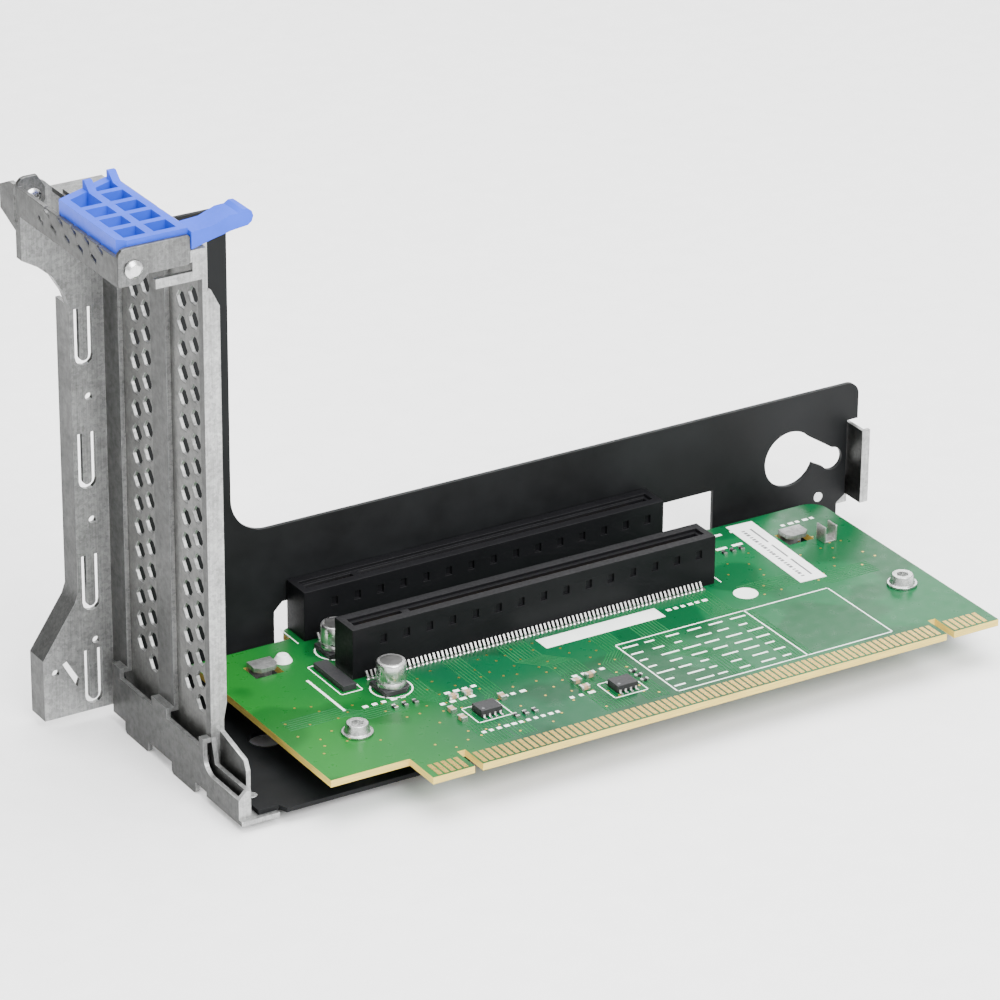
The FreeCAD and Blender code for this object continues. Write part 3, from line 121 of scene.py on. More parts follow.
class RiserSizes(bpy.types.PropertyGroup):
    sheet_edge: length("Sheet edge", 0.16, "Rounding left by the press along the steel's edges")
    plastic_edge: length("Plastic edge", 0.22, "Rounding of the moulded housings' edges")
    lever_edge: length("Lever edge", 0.34, "Rounding of the blue latch's edges")
    board_edge: length("Board edge", 0.06, "Rounding of the laminate's edges")
    print_height: length("Print height", 0.035, "Thickness of the printed legend")
    print_line: length("Print line", 0.3, "Width of a printed line")
    print_row: length("Print row", 3.3, "Distance between two rows of the printed table")
    trace_height: length("Trace height", 0.015, "How far lacquered copper stands up")
    trace_width: length("Trace width", 0.34, "Width of a copper track")
    trace_pitch: length("Trace pitch", 0.8, "Distance between neighbouring tracks")
    via_radius: length("Via radius", 0.28, "Radius of a plated through hole's land")
    tail_pitch: length("Tail pitch", 1.0, "Distance between two solder tails")
    tail_width: length("Tail width", 0.42, "Width of a solder tail")
    joint_radius: length("Joint radius", 0.46, "Radius of the solder round a tail")
    joint_height: length("Joint height", 0.55, "Height of the solder that climbs a tail")
    contact_width: length("Contact width", 0.5, "Width of a spring contact in a slot's mouth")
    cap_overhang: length("End cap", 0.02, "How far a chip's tinned ends stand out")
    camera_distance: length("Camera distance", 1074.89, "From the camera to the point it looks at")
    seed: IntProperty(name="Seed", description="Fixes every random choice", default=7, min=0)


class RiserColours(bpy.types.PropertyGroup):
    # The zinc below is the lit copy of the coating; the two darker zincs after it are painted
    # shade.
    zinc: colour("Zinc", (0.44, 0.445, 0.44), "Zinc coating seen on the folded flanges")
    # Painted shade: the bracket's, end guide's and latch frame's faces that look along the board.
    zinc_painted_shade: colour("Dull zinc", (0.056, 0.057, 0.055), "Coating across its rolling direction")
    # Painted shade: the slot covers' faces that look along the board, less dark than the bracket's.
    zinc_cover_painted_shade: colour("Cover zinc", (0.118, 0.119, 0.114), "The coating of the slot covers' faces")
    coating: colour("Coating", (0.006, 0.0065, 0.007), "Black coating of the carrier")
    mask: colour("Solder mask", (0.006, 0.135, 0.036), "Green lacquer on the board")
    mask_copper: colour("Mask over copper", (0.014, 0.215, 0.062), "Lacquer with copper under it")
    laminate: colour("Laminate", (0.66, 0.49, 0.10), "Cut edge of the glass-fibre laminate")
    gold: colour("Gold", (0.56, 0.37, 0.08), "Plated edge contacts")
    housing: colour("Housing", (0.006, 0.006, 0.007), "Black plastic of the card slots")
    tin: colour("Tin", (0.72, 0.72, 0.70), "Tinned leads and solder")
    lever: colour("Lever", (0.020, 0.072, 0.60), "Blue plastic of the latch")
    print_white: colour("Print", (0.88, 0.93, 0.88), "White printed legend")
    nylon: colour("Nylon", (0.86, 0.87, 0.83), "White plastic fastener")
    label: colour("Label", (0.90, 0.91, 0.90), "White label stock")
    label_bars: colour("Label bars", (0.14, 0.14, 0.15), "Grey bars on the label")
    can: colour("Can", (0.74, 0.74, 0.73), "Bare aluminium of the capacitors")
    epoxy: colour("Epoxy", (0.014, 0.014, 0.016), "Black chip packages")
    tan: colour("Ceramic", (0.36, 0.25, 0.15), "Tan ceramic chips")
    floor: colour("Floor", (0.97, 0.97, 0.97), "Pale floor under the part")


def sizes():
    return bpy.context.scene.riser_sizes


def colours():
    return bpy.context.scene.riser_colours


# ------------------------------------------------------------------ material building


class Surface:
    """A node material under construction: short words for the nodes it is made of."""

    def __init__(self, name):
        self.material = bpy.data.materials.new(name)
        self.material.use_nodes = True
        self.tree = self.material.node_tree
        self.tree.nodes.clear()
        self.output = self.tree.nodes.new("ShaderNodeOutputMaterial")
        self.shader = self.tree.nodes.new("ShaderNodeBsdfPrincipled")
        self.join(self.shader.outputs["BSDF"], self.output.inputs["Surface"])
        self.place = self.tree.nodes.new("ShaderNodeTexCoord").outputs["Object"]
        self.fine = self.stretched(1, 1, 1)

    def join(self, out, into):
        self.tree.links.new(out, into)

    def feed(self, socket, value):
        """Give a socket a link, a colour or a number."""
        if isinstance(value, bpy.types.NodeSocket):
            self.join(value, socket)
        elif hasattr(value, "__len__"):
            socket.default_value = (*value, 1.0)
        else:
            socket.default_value = value

    def set(self, **values):
        for name, value in values.items():
            self.feed(self.shader.inputs[name.replace("_", " ")], value)

    def stretched(self, x, y, z):
        """Object coordinates in millimetres, scaled by a factor for each axis."""
        node = self.tree.nodes.new("ShaderNodeMapping")
        self.join(self.place, node.inputs["Vector"])
        node.inputs["Scale"].default_value = (x / MM, y / MM, z / MM)
        return node.outputs["Vector"]

    def along(self, scale):
        """How far along the board a point lies, scaled."""
        node = self.tree.nodes.new("ShaderNodeSeparateXYZ")
        self.join(self.stretched(scale, scale, scale), node.inputs[0])
        return node.outputs[0]

    def noise(self, where, scale=1.0, detail=3.0, roughness=0.5):
        node = self.tree.nodes.new("ShaderNodeTexNoise")
        self.join(where, node.inputs["Vector"])
        node.inputs["Scale"].default_value = scale
        node.inputs["Detail"].default_value = detail
        node.inputs["Roughness"].default_value = roughness
        return node.outputs["Fac"]

    def crystals(self, scale):
        """One random tone for each small cell."""
        node = self.tree.nodes.new("ShaderNodeTexVoronoi")
        self.join(self.fine, node.inputs["Vector"])
        node.inputs["Scale"].default_value = scale
        return node.outputs["Color"]

    def wave(self, scale, distortion, direction):
        node = self.tree.nodes.new("ShaderNodeTexWave")
        node.bands_direction = direction
        self.join(self.fine, node.inputs["Vector"])
        node.inputs["Scale"].default_value = scale
        node.inputs["Distortion"].default_value = distortion
        return node.outputs["Fac"]

    def ramp(self, factor, *stops):
        """Colours or greys at positions: each stop is (position, colour or grey)."""
        node = self.tree.nodes.new("ShaderNodeValToRGB")
        self.join(factor, node.inputs["Fac"])
        elements = node.color_ramp.elements
        while len(elements) < len(stops):
            elements.new(0.5)
        for element, (position, value) in zip(elements, stops):
            element.position = position
            if isinstance(value, (int, float)):
                value = (value, value, value)
            element.color = (*value, 1.0)
        return node.outputs["Color"]

    def mottled(self, scale, detail, lower, upper):
        """Two colours or greys that drift into each other in soft clouds."""
        return self.ramp(self.noise(self.fine, scale, detail), (0.3, lower), (0.7, upper))

    def blend(self, factor, first, second, mode="MIX"):
        node = self.tree.nodes.new("ShaderNodeMix")
        node.data_type = "RGBA"
        node.blend_type = mode
        self.feed(node.inputs[0], factor)
        self.feed(node.inputs[6], first)
        self.feed(node.inputs[7], second)
        return node.outputs[2]

    def sum(self, operation, first, second):
        node = self.tree.nodes.new("ShaderNodeMath")
        node.operation = operation
        self.feed(node.inputs[0], first)
        self.feed(node.inputs[1], second)
        return node.outputs[0]

    def relief(self, height, strength, distance):
        """Small bumps as deep as the distance, in millimetres."""
        node = self.tree.nodes.new("ShaderNodeBump")
        self.join(height, node.inputs["Height"])
        node.inputs["Strength"].default_value = strength
        node.inputs["Distance"].default_value = distance * MM
        self.join(node.outputs["Normal"], self.shader.inputs["Normal"])


def shade(tone, factor):
    """A colour made darker or lighter by a factor."""
    return tuple(min(1.0, channel * factor) for channel in tone)


def zinc_sheet(name, base):
    """Zinc-coated steel: small crystal patches, rolling streaks and matt handling marks; it also
    makes the painted-shade copies.
    """
    surface = Surface(name)
    patches = surface.ramp(
        surface.crystals(1.5), (0.2, shade(base, 0.84)), (0.8, shade(base, 1.12))
    )
    clouds = surface.noise(surface.fine, 0.12, 5.0, 0.65)
    streaks = surface.noise(surface.stretched(3.0, 3.0, 0.06), 1.0, 2.0)
    specks = surface.noise(surface.fine, 3.0, 2.0)
    tint = surface.blend(1.0, patches, surface.ramp(clouds, (0.32, 0.66), (0.66, 1.0)), "MULTIPLY")
    tint = surface.blend(1.0, tint, surface.ramp(streaks, (0.32, 0.78), (0.66, 1.0)), "MULTIPLY")
    tint = surface.blend(0.7, tint, surface.ramp(specks, (0.34, 0.72), (0.46, 1.0)), "MULTIPLY")
    rough = surface.ramp(surface.noise(surface.fine, 0.6, 5.0, 0.6), (0.3, 0.30), (0.75, 0.52))
    surface.set(Base_Color=tint, Metallic=0.85, Roughness=rough)
    surface.relief(surface.noise(surface.fine, 1.6, 4.0), 0.22, 0.03)
    return surface.material


def black_coating(tones):
    """Satin powder coating with a fine orange-peel grain and faint rubbed marks."""
    surface = Surface("black_powder_coating")
    worn = surface.noise(surface.fine, 0.05, 5.0, 0.6)
    tint = surface.ramp(worn, (0.35, shade(tones.coating, 0.8)), (0.75, shade(tones.coating, 1.8)))
    rough = surface.mottled(0.2, 3.0, 0.42, 0.56)
    surface.set(Base_Color=tint, Roughness=rough, Specular_IOR_Level=LACQUER_MIRROR)
    surface.relief(surface.noise(surface.fine, 2.6, 3.0), 0.35, 0.03)
    return surface.material


def solder_mask(tones):
    """Green lacquer over laminate, lighter where sheets of copper lie beneath it, with a painted
    reflection paler towards the board's right end.
    """
    surface = Surface("green_solder_mask")
    pours = surface.ramp(surface.noise(surface.fine, 0.045, 2.0, 0.4), (0.46, 0.0), (0.50, 1.0))
    weave = surface.sum("MULTIPLY", surface.wave(0.35, 0.4, "X"), surface.wave(0.35, 0.4, "Y"))
    copper = surface.sum(
        "MAXIMUM", surface.sum("MULTIPLY", pours, 0.75), surface.sum("MULTIPLY", weave, 0.12)
    )
    tint = surface.blend(copper, tones.mask, tones.mask_copper)
    # Painted light: the lacquer is multiplied by a gradient along the board, darkest in the middle
    # and paler and bluer towards the right end, where it paints the reflection on the lacquer; it
    # is lighter and yellower at the left end.
    wander = surface.sum("MULTIPLY", surface.noise(surface.fine, 0.02, 1.0), 0.25)
    region = surface.ramp(
        surface.sum("ADD", surface.along(0.006), wander),
        (0.26, (0.80, 0.70, 0.30)), (0.50, (0.22, 0.32, 0.42)), (0.95, (0.40, 0.50, 0.58)),
    )
    tint = surface.blend(1.0, tint, region, "MULTIPLY")
    rough = surface.mottled(0.4, 4.0, 0.26, 0.36)
    surface.set(Base_Color=tint, Roughness=rough, Specular_IOR_Level=LACQUER_MIRROR)
    surface.relief(copper, 0.25, 0.03)
    return surface.material


def track_lacquer(tones):
    """The lacquer that covers raised copper tracks."""
    surface = Surface("lacquered_track")
    base = tones.mask_copper
    tint = surface.mottled(0.3, 3.0, shade(base, 0.42), shade(base, 0.62))
    rough = surface.mottled(0.6, 3.0, 0.26, 0.36)
    surface.set(Base_Color=tint, Roughness=rough, Specular_IOR_Level=LACQUER_MIRROR)
    return surface.material


def laminate_edge(tones):
    """Cut glass-fibre laminate: thin pale layers, one above the other."""
    surface = Surface("laminate_edge")
    base = tones.laminate
    layers = surface.noise(surface.stretched(0.15, 0.15, 6.0), 1.0, 2.0)
    tint = surface.ramp(layers, (0.35, shade(base, 0.78)), (0.65, shade(base, 1.1)))
    surface.set(Base_Color=tint, Roughness=surface.mottled(2.0, 3.0, 0.45, 0.62))
    return surface.material


def plated(name, base, smoothest, roughest, grain=1.2, metallic=1.0, bump=0.08):
    """A plated metal with small variations of tone and gloss."""
    surface = Surface(name)
    tint = surface.mottled(grain, 3.0, shade(base, 0.82), shade(base, 1.05))
    rough = surface.mottled(grain * 2, 3.0, smoothest, roughest)
    surface.set(Base_Color=tint, Metallic=metallic, Roughness=rough)
    surface.relief(surface.noise(surface.fine, grain * 3, 2.0), bump, 0.02)
    return surface.material


def moulded(name, base, smoothest, roughest, grain=1.5, bump=0.2, darkest=0.85, mirror=0.5):
    """Moulded plastic, ceramic or print with a fine grain."""
    surface = Surface(name)
    tint = surface.mottled(0.15, 4.0, shade(base, darkest), shade(base, 1.06))
    rough = surface.mottled(grain, 3.0, smoothest, roughest)
    surface.set(Base_Color=tint, Roughness=rough, Specular_IOR_Level=mirror)
    surface.relief(surface.noise(surface.fine, grain * 2, 3.0), bump, 0.02)
    return surface.material


RECIPES = {
    "zinc": lambda tones: zinc_sheet("zinc_coated_sheet", tones.zinc),
    # Painted shade: darker copies of the zinc for the faces that look along the board.
    "painted_shade": lambda tones: zinc_sheet("zinc_coated_sheet_painted_shade", tones.zinc_painted_shade),
    "cover": lambda tones: zinc_sheet("zinc_coated_cover_painted_shade", tones.zinc_cover_painted_shade),
    "latch_steel": lambda tones: zinc_sheet("latch_sheet", shade(tones.zinc, 0.42)),
    "coating": black_coating,
    "mask": solder_mask,
    "track": track_lacquer,
    "laminate": laminate_edge,
    "gold": lambda tones: plated("gold_plating", tones.gold, 0.22, 0.38),
    "land": lambda tones: plated("plated_land", shade(tones.gold, 1.3), 0.25, 0.4, 3.0),
    "tin": lambda tones: plated("tin_plating", tones.tin, 0.25, 0.45, 2.0),
    "rivet": lambda tones: plated("rivet_steel", shade(tones.zinc, 1.5), 0.20, 0.34),
    "screw": lambda tones: plated("screw_steel", shade(tones.zinc, 1.3), 0.22, 0.36),
    "can": lambda tones: plated("can_aluminium", tones.can, 0.24, 0.34, 0.3, bump=0.02),
    "can_top": lambda tones: plated("can_top", shade(tones.can, 0.22), 0.3, 0.42, 0.5, 0.9, 0.03),
    "housing": lambda tones: moulded(
        "slot_plastic", tones.housing, 0.36, 0.50, 1.5, 0.15, mirror=0.13
    ),
    "lever": lambda tones: moulded(
        "latch_plastic", tones.lever, 0.34, 0.46, 1.0, 0.1, 0.9, mirror=0.22
    ),
    "epoxy": lambda tones: moulded("chip_epoxy", tones.epoxy, 0.45, 0.6, 2.0, 0.3),
    "tan": lambda tones: moulded("tan_ceramic", tones.tan, 0.35, 0.5, 2.0),
    "nylon": lambda tones: moulded("white_nylon", tones.nylon, 0.35, 0.5, 1.0, 0.1, 0.94),
    "print": lambda tones: moulded("printed_white", tones.print_white, 0.5, 0.65, 1.0, 0.05, 0.94),
    "label": lambda tones: moulded("label_stock", tones.label, 0.45, 0.6, 1.0, 0.05, 0.95),
    "bars": lambda tones: moulded("label_bars", tones.label_bars, 0.5, 0.6, 1.0, 0.05),
    "floor": lambda tones: moulded("pale_floor", tones.floor, 0.55, 0.65, 0.1, 0.02, 0.985),
}
FINISHES = {}


def finish(name):
    """The material of that name, built the first time it is asked for."""
    if name not in FINISHES:
        FINISHES[name] = RECIPES[name](colours())
    return FINISHES[name]


# ------------------------------------------------------------------ mesh helpers


def add_object(name, mesh, material):
    mesh.name = name
    thing = bpy.data.objects.new(name, mesh)
    bpy.context.scene.collection.objects.link(thing)
    if not mesh.materials:
        mesh.materials.append(material)
    return thing


def settle(piece, body, slot):
    """Hand a finished piece to its body; the slot is not used."""
    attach(piece, body)
    return piece


def body_holding(node):
    bodies = frame["record"]["behaviour"]["bodies"]
    return next(body for body, nodes in bodies.items() if node in nodes)


def slot_holding(node):
    subparts = frame["record"]["subparts"]
    return next(part["material_slot"] for part in subparts if part["node"] == node)


def dressed(node, material, edge, segments=2, second=None, chosen=None):
    """A copy of a CAD node with its faces merged and its edges rounded, in the node's place.

    Faces for which chosen(centre, normal) is true take the second material.
    """
    mesh = frame["nodes"][node].data.copy()
    mesh.materials.clear()
    mesh.materials.append(material)
    work = bmesh.new()
    work.from_mesh(mesh)
    bmesh.ops.remove_doubles(work, verts=work.verts, dist=MERGE)
    bmesh.ops.dissolve_limit(
        work, angle_limit=math.radians(1.0), verts=work.verts, edges=work.edges,
        delimit={"NORMAL"},
    )
    for face in work.faces:
        face.material_index = 0
    if second is not None:
        mesh.materials.append(second)
        for face in work.faces:
            if chosen(face.calc_center_median(), face.normal):
                face.material_index = 1
    work.to_mesh(mesh)
    work.free()
    piece = add_object(node + "_finished", mesh, material)
    for face in mesh.polygons:
        face.use_smooth = True
    mesh.set_sharp_from_angle(angle=SHARP)
    if edge > 0:
        bevel = piece.modifiers.new("Rounded edges", "BEVEL")
        bevel.width = edge
        bevel.segments = segments
        bevel.limit_method = "ANGLE"
        bevel.angle_limit = SHARP
        bevel.use_clamp_overlap = True
        bevel.harden_normals = True
    piece.data = evaluated(piece)
    piece.modifiers.clear()
    piece.data.name = piece.name
    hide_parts(node)
    return settle(piece, body_holding(node), slot_holding(node))


def evaluated(thing):
    """The mesh a thing's modifiers make of it."""
    graph = bpy.context.evaluated_depsgraph_get()
    return bpy.data.meshes.new_from_object(thing.evaluated_get(graph))


def boxes_mesh(name, boxes):
    """Closed boxes, each given by two opposite corners."""
    corners, faces = [], []
    sides = ((3, 2, 1, 0), (4, 5, 6, 7), (0, 1, 5, 4), (1, 2, 6, 5), (2, 3, 7, 6), (3, 0, 4, 7))
    for (x0, y0, z0), (x1, y1, z1) in boxes:
        first = len(corners)
        corners += [
            (x0, y0, z0), (x1, y0, z0), (x1, y1, z0), (x0, y1, z0),
            (x0, y0, z1), (x1, y0, z1), (x1, y1, z1), (x0, y1, z1),
        ]
        faces += [tuple(first + corner for corner in side) for side in sides]
    mesh = bpy.data.meshes.new(name)
    mesh.from_pydata(corners, [], faces)
    return mesh


def face_mesh(name, x0, y0, x1, y1, height):
    """One level rectangle."""
    corners = [(x, y, height) for x, y in ((x0, y0), (x1, y0), (x1, y1), (x0, y1))]
    mesh = bpy.data.meshes.new(name)
    mesh.from_pydata(corners, [], [(0, 1, 2, 3)])
    return mesh


def turned_mesh(name, outline, centre, sides=32):
    """A closed outline of (radius, height) turned about a vertical axis."""
    corners, faces = [], []
    for station in range(sides):
        angle = math.tau * station / sides
        for radius, height in outline:
            corners.append((
                centre[0] + radius * math.cos(angle),
                centre[1] + radius * math.sin(angle),
                centre[2] + height,
            ))
    count = len(outline)
    for station in range(sides):
        here, there = station * count, ((station + 1) % sides) * count
        for k in range(count):
            after = (k + 1) % count
            faces.append((here + k, there + k, there + after, here + after))
    mesh = bpy.data.meshes.new(name)
    mesh.from_pydata(corners, [], faces)
    work = bmesh.new()
    work.from_mesh(mesh)
    bmesh.ops.remove_doubles(work, verts=work.verts, dist=MERGE)
    bmesh.ops.recalc_face_normals(work, faces=work.faces)
    work.to_mesh(mesh)
    work.free()
    return mesh


def flat_strip(start, end, width, bottom, top):
    """A thin box between two points along X or Y."""
    half = width / 2
    return (
        (min(start[0], end[0]) - half, min(start[1], end[1]) - half, bottom),
        (max(start[0], end[0]) + half, max(start[1], end[1]) + half, top),
    )


def islands(node):
    """Bounding boxes of the separate solids in a CAD node."""
    work = bmesh.new()
    work.from_mesh(frame["nodes"][node].data)
    bmesh.ops.remove_doubles(work, verts=work.verts, dist=MERGE)
    left = set(work.verts)
    found = []
    while left:
        waiting, group = [left.pop()], []
        while waiting:
            vertex = waiting.pop()
            group.append(vertex.co.copy())
            for edge in vertex.link_edges:
                other = edge.other_vert(vertex)
                if other in left:
                    left.remove(other)
                    waiting.append(other)
        found.append([
            Vector([pick(point[axis] for point in group) for axis in range(3)])
            for pick in (min, max)
        ])
    work.free()
    return sorted(found, key=lambda box: tuple(box[0]))


# ------------------------------------------------------------------ growing by geometry nodes


class Growth:
    """A Geometry Nodes group under construction, with named inputs."""

    def __init__(self, name):
        self.tree = bpy.data.node_groups.new(name, "GeometryNodeTree")
        self.names = {}
        for way in ("INPUT", "OUTPUT"):
            self.tree.interface.new_socket(
                "Geometry", in_out=way, socket_type="NodeSocketGeometry"
            )
        self.inputs = self.tree.nodes.new("NodeGroupInput")
        self.outputs = self.tree.nodes.new("NodeGroupOutput")
        self.geometry = self.inputs.outputs["Geometry"]

    def named(self, name, kind, default=None):
        """A named input; its identifier is kept for the modifier."""
        socket = self.tree.interface.new_socket(
            name, in_out="INPUT", socket_type="NodeSocket" + kind
        )
        if default is not None:
            socket.default_value = default
        self.names[name] = socket.identifier
        return self.inputs.outputs[name]

    def add(self, kind, setup=None, **values):
        node = self.tree.nodes.new(kind)
        for attribute, value in (setup or {}).items():
            setattr(node, attribute, value)
        for name, value in values.items():
            socket = node.inputs[name.replace("_", " ")]
            if isinstance(value, bpy.types.NodeSocket):
                self.tree.links.new(value, socket)
            else:
                socket.default_value = value
        return node

    def finish(self, instances, material):
        solid = self.add("GeometryNodeRealizeInstances", Geometry=instances)
        painted = self.add("GeometryNodeSetMaterial", Geometry=solid.outputs[0], Material=material)
        self.tree.links.new(painted.outputs[0], self.outputs.inputs["Geometry"])
        return self

    def line(self, count, step):
        """Points along a straight row."""
        row = self.add("GeometryNodeMeshLine", {"mode": "OFFSET"}, Count=count, Offset=step)
        return row.outputs[0]


def row_group():
    """Repeats the host mesh along a straight row."""
    grown = Growth("riser_row")
    count = grown.named("Count", "Int", 10)
    step = grown.named("Step", "Vector")
    material = grown.named("Material", "Material")
    copies = grown.add(
        "GeometryNodeInstanceOnPoints", Points=grown.line(count, step), Instance=grown.geometry
    )
    return grown.finish(copies.outputs[0], material)


def track_group():
    """Turns the host's path into a flat strip and repeats it side by side."""
    grown = Growth("riser_tracks")
    count = grown.named("Count", "Int", 6)
    step = grown.named("Step", "Vector")
    width = grown.named("Width", "Float", 0.3 * MM)
    height = grown.named("Height", "Float", 0.03 * MM)
    material = grown.named("Material", "Material")
    path = grown.add("GeometryNodeMeshToCurve", Mesh=grown.geometry)
    level = grown.add("GeometryNodeSetCurveNormal", {"mode": "Z_UP"}, Curve=path.outputs[0])
    section = grown.add("GeometryNodeCurvePrimitiveQuadrilateral", Width=width, Height=height)
    strip = grown.add(
        "GeometryNodeCurveToMesh",
        Curve=level.outputs[0], Profile_Curve=section.outputs[0], Fill_Caps=True,
    )
    copies = grown.add(
        "GeometryNodeInstanceOnPoints", Points=grown.line(count, step), Instance=strip.outputs[0]
    )
    return grown.finish(copies.outputs[0], material)


def bars_group():
    """Rows of the host bar, each stretched to its own random length."""
    grown = Growth("riser_bars")
    count = grown.named("Count", "Int", 5)
    step = grown.named("Step", "Vector")
    shortest = grown.named("Shortest", "Float", 0.5)
    longest = grown.named("Longest", "Float", 1.0)
    seed = grown.named("Seed", "Int", 1)
    material = grown.named("Material", "Material")
    chance = grown.add("FunctionNodeRandomValue", {"data_type": "FLOAT"})
    for place, source in ((2, shortest), (3, longest)):
        grown.tree.links.new(source, chance.inputs[place])
    grown.tree.links.new(seed, chance.inputs["Seed"])
    scale = grown.add("ShaderNodeCombineXYZ", X=chance.outputs[1], Y=1.0, Z=1.0)
    copies = grown.add(
        "GeometryNodeInstanceOnPoints",
        Points=grown.line(count, step), Instance=grown.geometry, Scale=scale.outputs[0],
    )
    return grown.finish(copies.outputs[0], material)


def lands_group():
    """Scatters small round lands over the host's faces, never closer than a set distance."""
    grown = Growth("riser_lands")
    apart = grown.named("Apart", "Float", 2.0 * MM)
    density = grown.named("Density", "Float", 60000.0)
    radius = grown.named("Radius", "Float", 0.3 * MM)
    height = grown.named("Height", "Float", 0.03 * MM)
    seed = grown.named("Seed", "Int", 1)
    material = grown.named("Material", "Material")
    spread = grown.add(
        "GeometryNodeDistributePointsOnFaces", {"distribute_method": "POISSON"},
        Mesh=grown.geometry, Distance_Min=apart, Density_Max=density, Seed=seed,
    )
    land = grown.add("GeometryNodeMeshCylinder", Vertices=12, Radius=radius, Depth=height)
    copies = grown.add(
        "GeometryNodeInstanceOnPoints", Points=spread.outputs[0], Instance=land.outputs[0]
    )
    return grown.finish(copies.outputs[0], material)


GROUPS = {}


def grow(name, host_mesh, group, material, slot, **values):
    """Runs a node group on a host mesh and keeps what it makes as one finished mesh."""
    if group not in GROUPS:
        GROUPS[group] = group()
    grown = GROUPS[group]
    host = add_object(name, host_mesh, material)
    modifier = host.modifiers.new("Growth", "NODES")
    modifier.node_group = grown.tree
    modifier[grown.names["Material"]] = material
    for label, value in values.items():
        modifier[grown.names[label]] = value
    host.data = evaluated(host)
    host.modifiers.clear()
    host.data.name = name
    return settle(host, "riser", slot)


def grow_row(name, unit, place, count, pitch, material, slot):
    """A row of units along the board, moved to its place once it is grown."""
    row = grow(name, unit, row_group, material, slot, Count=count, Step=(pitch, 0.0, 0.0))
    row.data.transform(Matrix.Translation(place))


def solid(name, mesh, material, slot):
    """A finished piece made straight from a mesh."""
    settle(add_object(name, mesh, material), "riser", slot)


def disc(name, centre, radius, thickness, material, slot, sides=32, inner=0.0):
    """A thin round spot or, with an inner radius, a ring."""
    outline = ((inner, 0.0), (radius, 0.0), (radius, thickness), (inner, thickness))
    solid(name, turned_mesh(name, outline, centre, sides), material, slot)


# ------------------------------------------------------------------ board dressing

# Bundles of tracks from the front slot to the gold edge: how far along the slot they start,
# how many there are, their sideways jog and how far out they bend. Lengths in millimetres.
TRACKS_DOWN = (
    (6.0, 8, 4.0, 13.0), (20.0, 6, -3.0, 20.0), (33.0, 9, 5.0, 10.0),
    (52.0, 7, -4.0, 16.0), (62.0, 9, 6.0, 22.0), (80.0, 8, 3.0, 12.0),
)
# Printed frames: the node inside, the space round it in millimetres.
FRAMED = (("chip_near", 1.5), ("chip_far", 1.5), ("resistor_bank", 0.9))


def lay_tracks(name, points, count, step):
    """A bundle of parallel tracks beside one path."""
    height = BOARD_TOP + sizes().trace_height / 2
    path = bpy.data.meshes.new("path")
    path.from_pydata(
        [(x, y, height) for x, y in points], [(k, k + 1) for k in range(len(points) - 1)], []
    )
    grow(
        name, path, track_group, finish("track"), "solder_mask",
        Count=count, Step=step, Width=sizes().trace_width, Height=sizes().trace_height,
    )


def build_tracks():
    """Bundles of copper tracks that run down to the gold edge and along the card slots."""
    pitch = sizes().trace_pitch
    start, slot_front = low("slot_housing_front").xy
    for number, (along, count, jog, bend) in enumerate(TRACKS_DOWN):
        x, over = start + along * MM, jog * MM
        turn = slot_front - bend * MM
        points = (
            (x, slot_front - 2.2 * MM), (x, turn),
            (x + over, turn - abs(over)), (x + over, BOARD_FRONT + 6.5 * MM),
        )
        lay_tracks("tracks_down_%d" % number, points, count, (pitch, 0.0, 0.0))
    between = (low("slot_housing_rear").y + high("slot_housing_front").y) / 2
    for number, (from_x, to_x, y, count) in enumerate((
        (start - 22 * MM, start + 4 * MM, slot_front - 9 * MM, 6),
        (start + 8 * MM, start + 80 * MM, between + 2.0 * MM, 5),
        (start + 92 * MM, BOARD_RIGHT - 8 * MM, slot_front - 4 * MM, 7),
    )):
        halfway, stepped = (from_x + to_x) / 2, y - TRACK_JOG
        points = ((from_x, y), (halfway, y), (halfway + TRACK_JOG, stepped), (to_x, stepped))
        lay_tracks("tracks_along_%d" % number, points, count, (0.0, -pitch, 0.0))


def build_lands():
    """Plated through holes scattered over the free parts of the board."""
    near = BOARD_FRONT + 8 * MM
    far = low("slot_housing_front").y - 4 * MM
    for number, region in enumerate((
        (BOARD_LEFT + 24 * MM, near, BOARD_LEFT + 78 * MM, far),
        (BOARD_LEFT + 3 * MM, far - 22 * MM, BOARD_LEFT + 20 * MM, far),
        (BOARD_RIGHT - 38 * MM, far - 6 * MM, BOARD_RIGHT - 4 * MM, far + 18 * MM),
    )):
        grow(
            "lands_%d" % number, face_mesh("region", *region, BOARD_TOP + ABOVE),
            lands_group, finish("land"), "tin_plate",
            Apart=2.6 * MM, Density=90000.0, Radius=sizes().via_radius,
            Height=sizes().print_height, Seed=sizes().seed + number,
        )


def frame_strips(x0, y0, x1, y1, width, bottom, top):
    """The four sides of a printed frame."""
    corners = ((x0, y0), (x1, y0), (x1, y1), (x0, y1))
    return [
        flat_strip(corners[k], corners[(k + 1) % 4], width, bottom, top) for k in range(4)
    ]


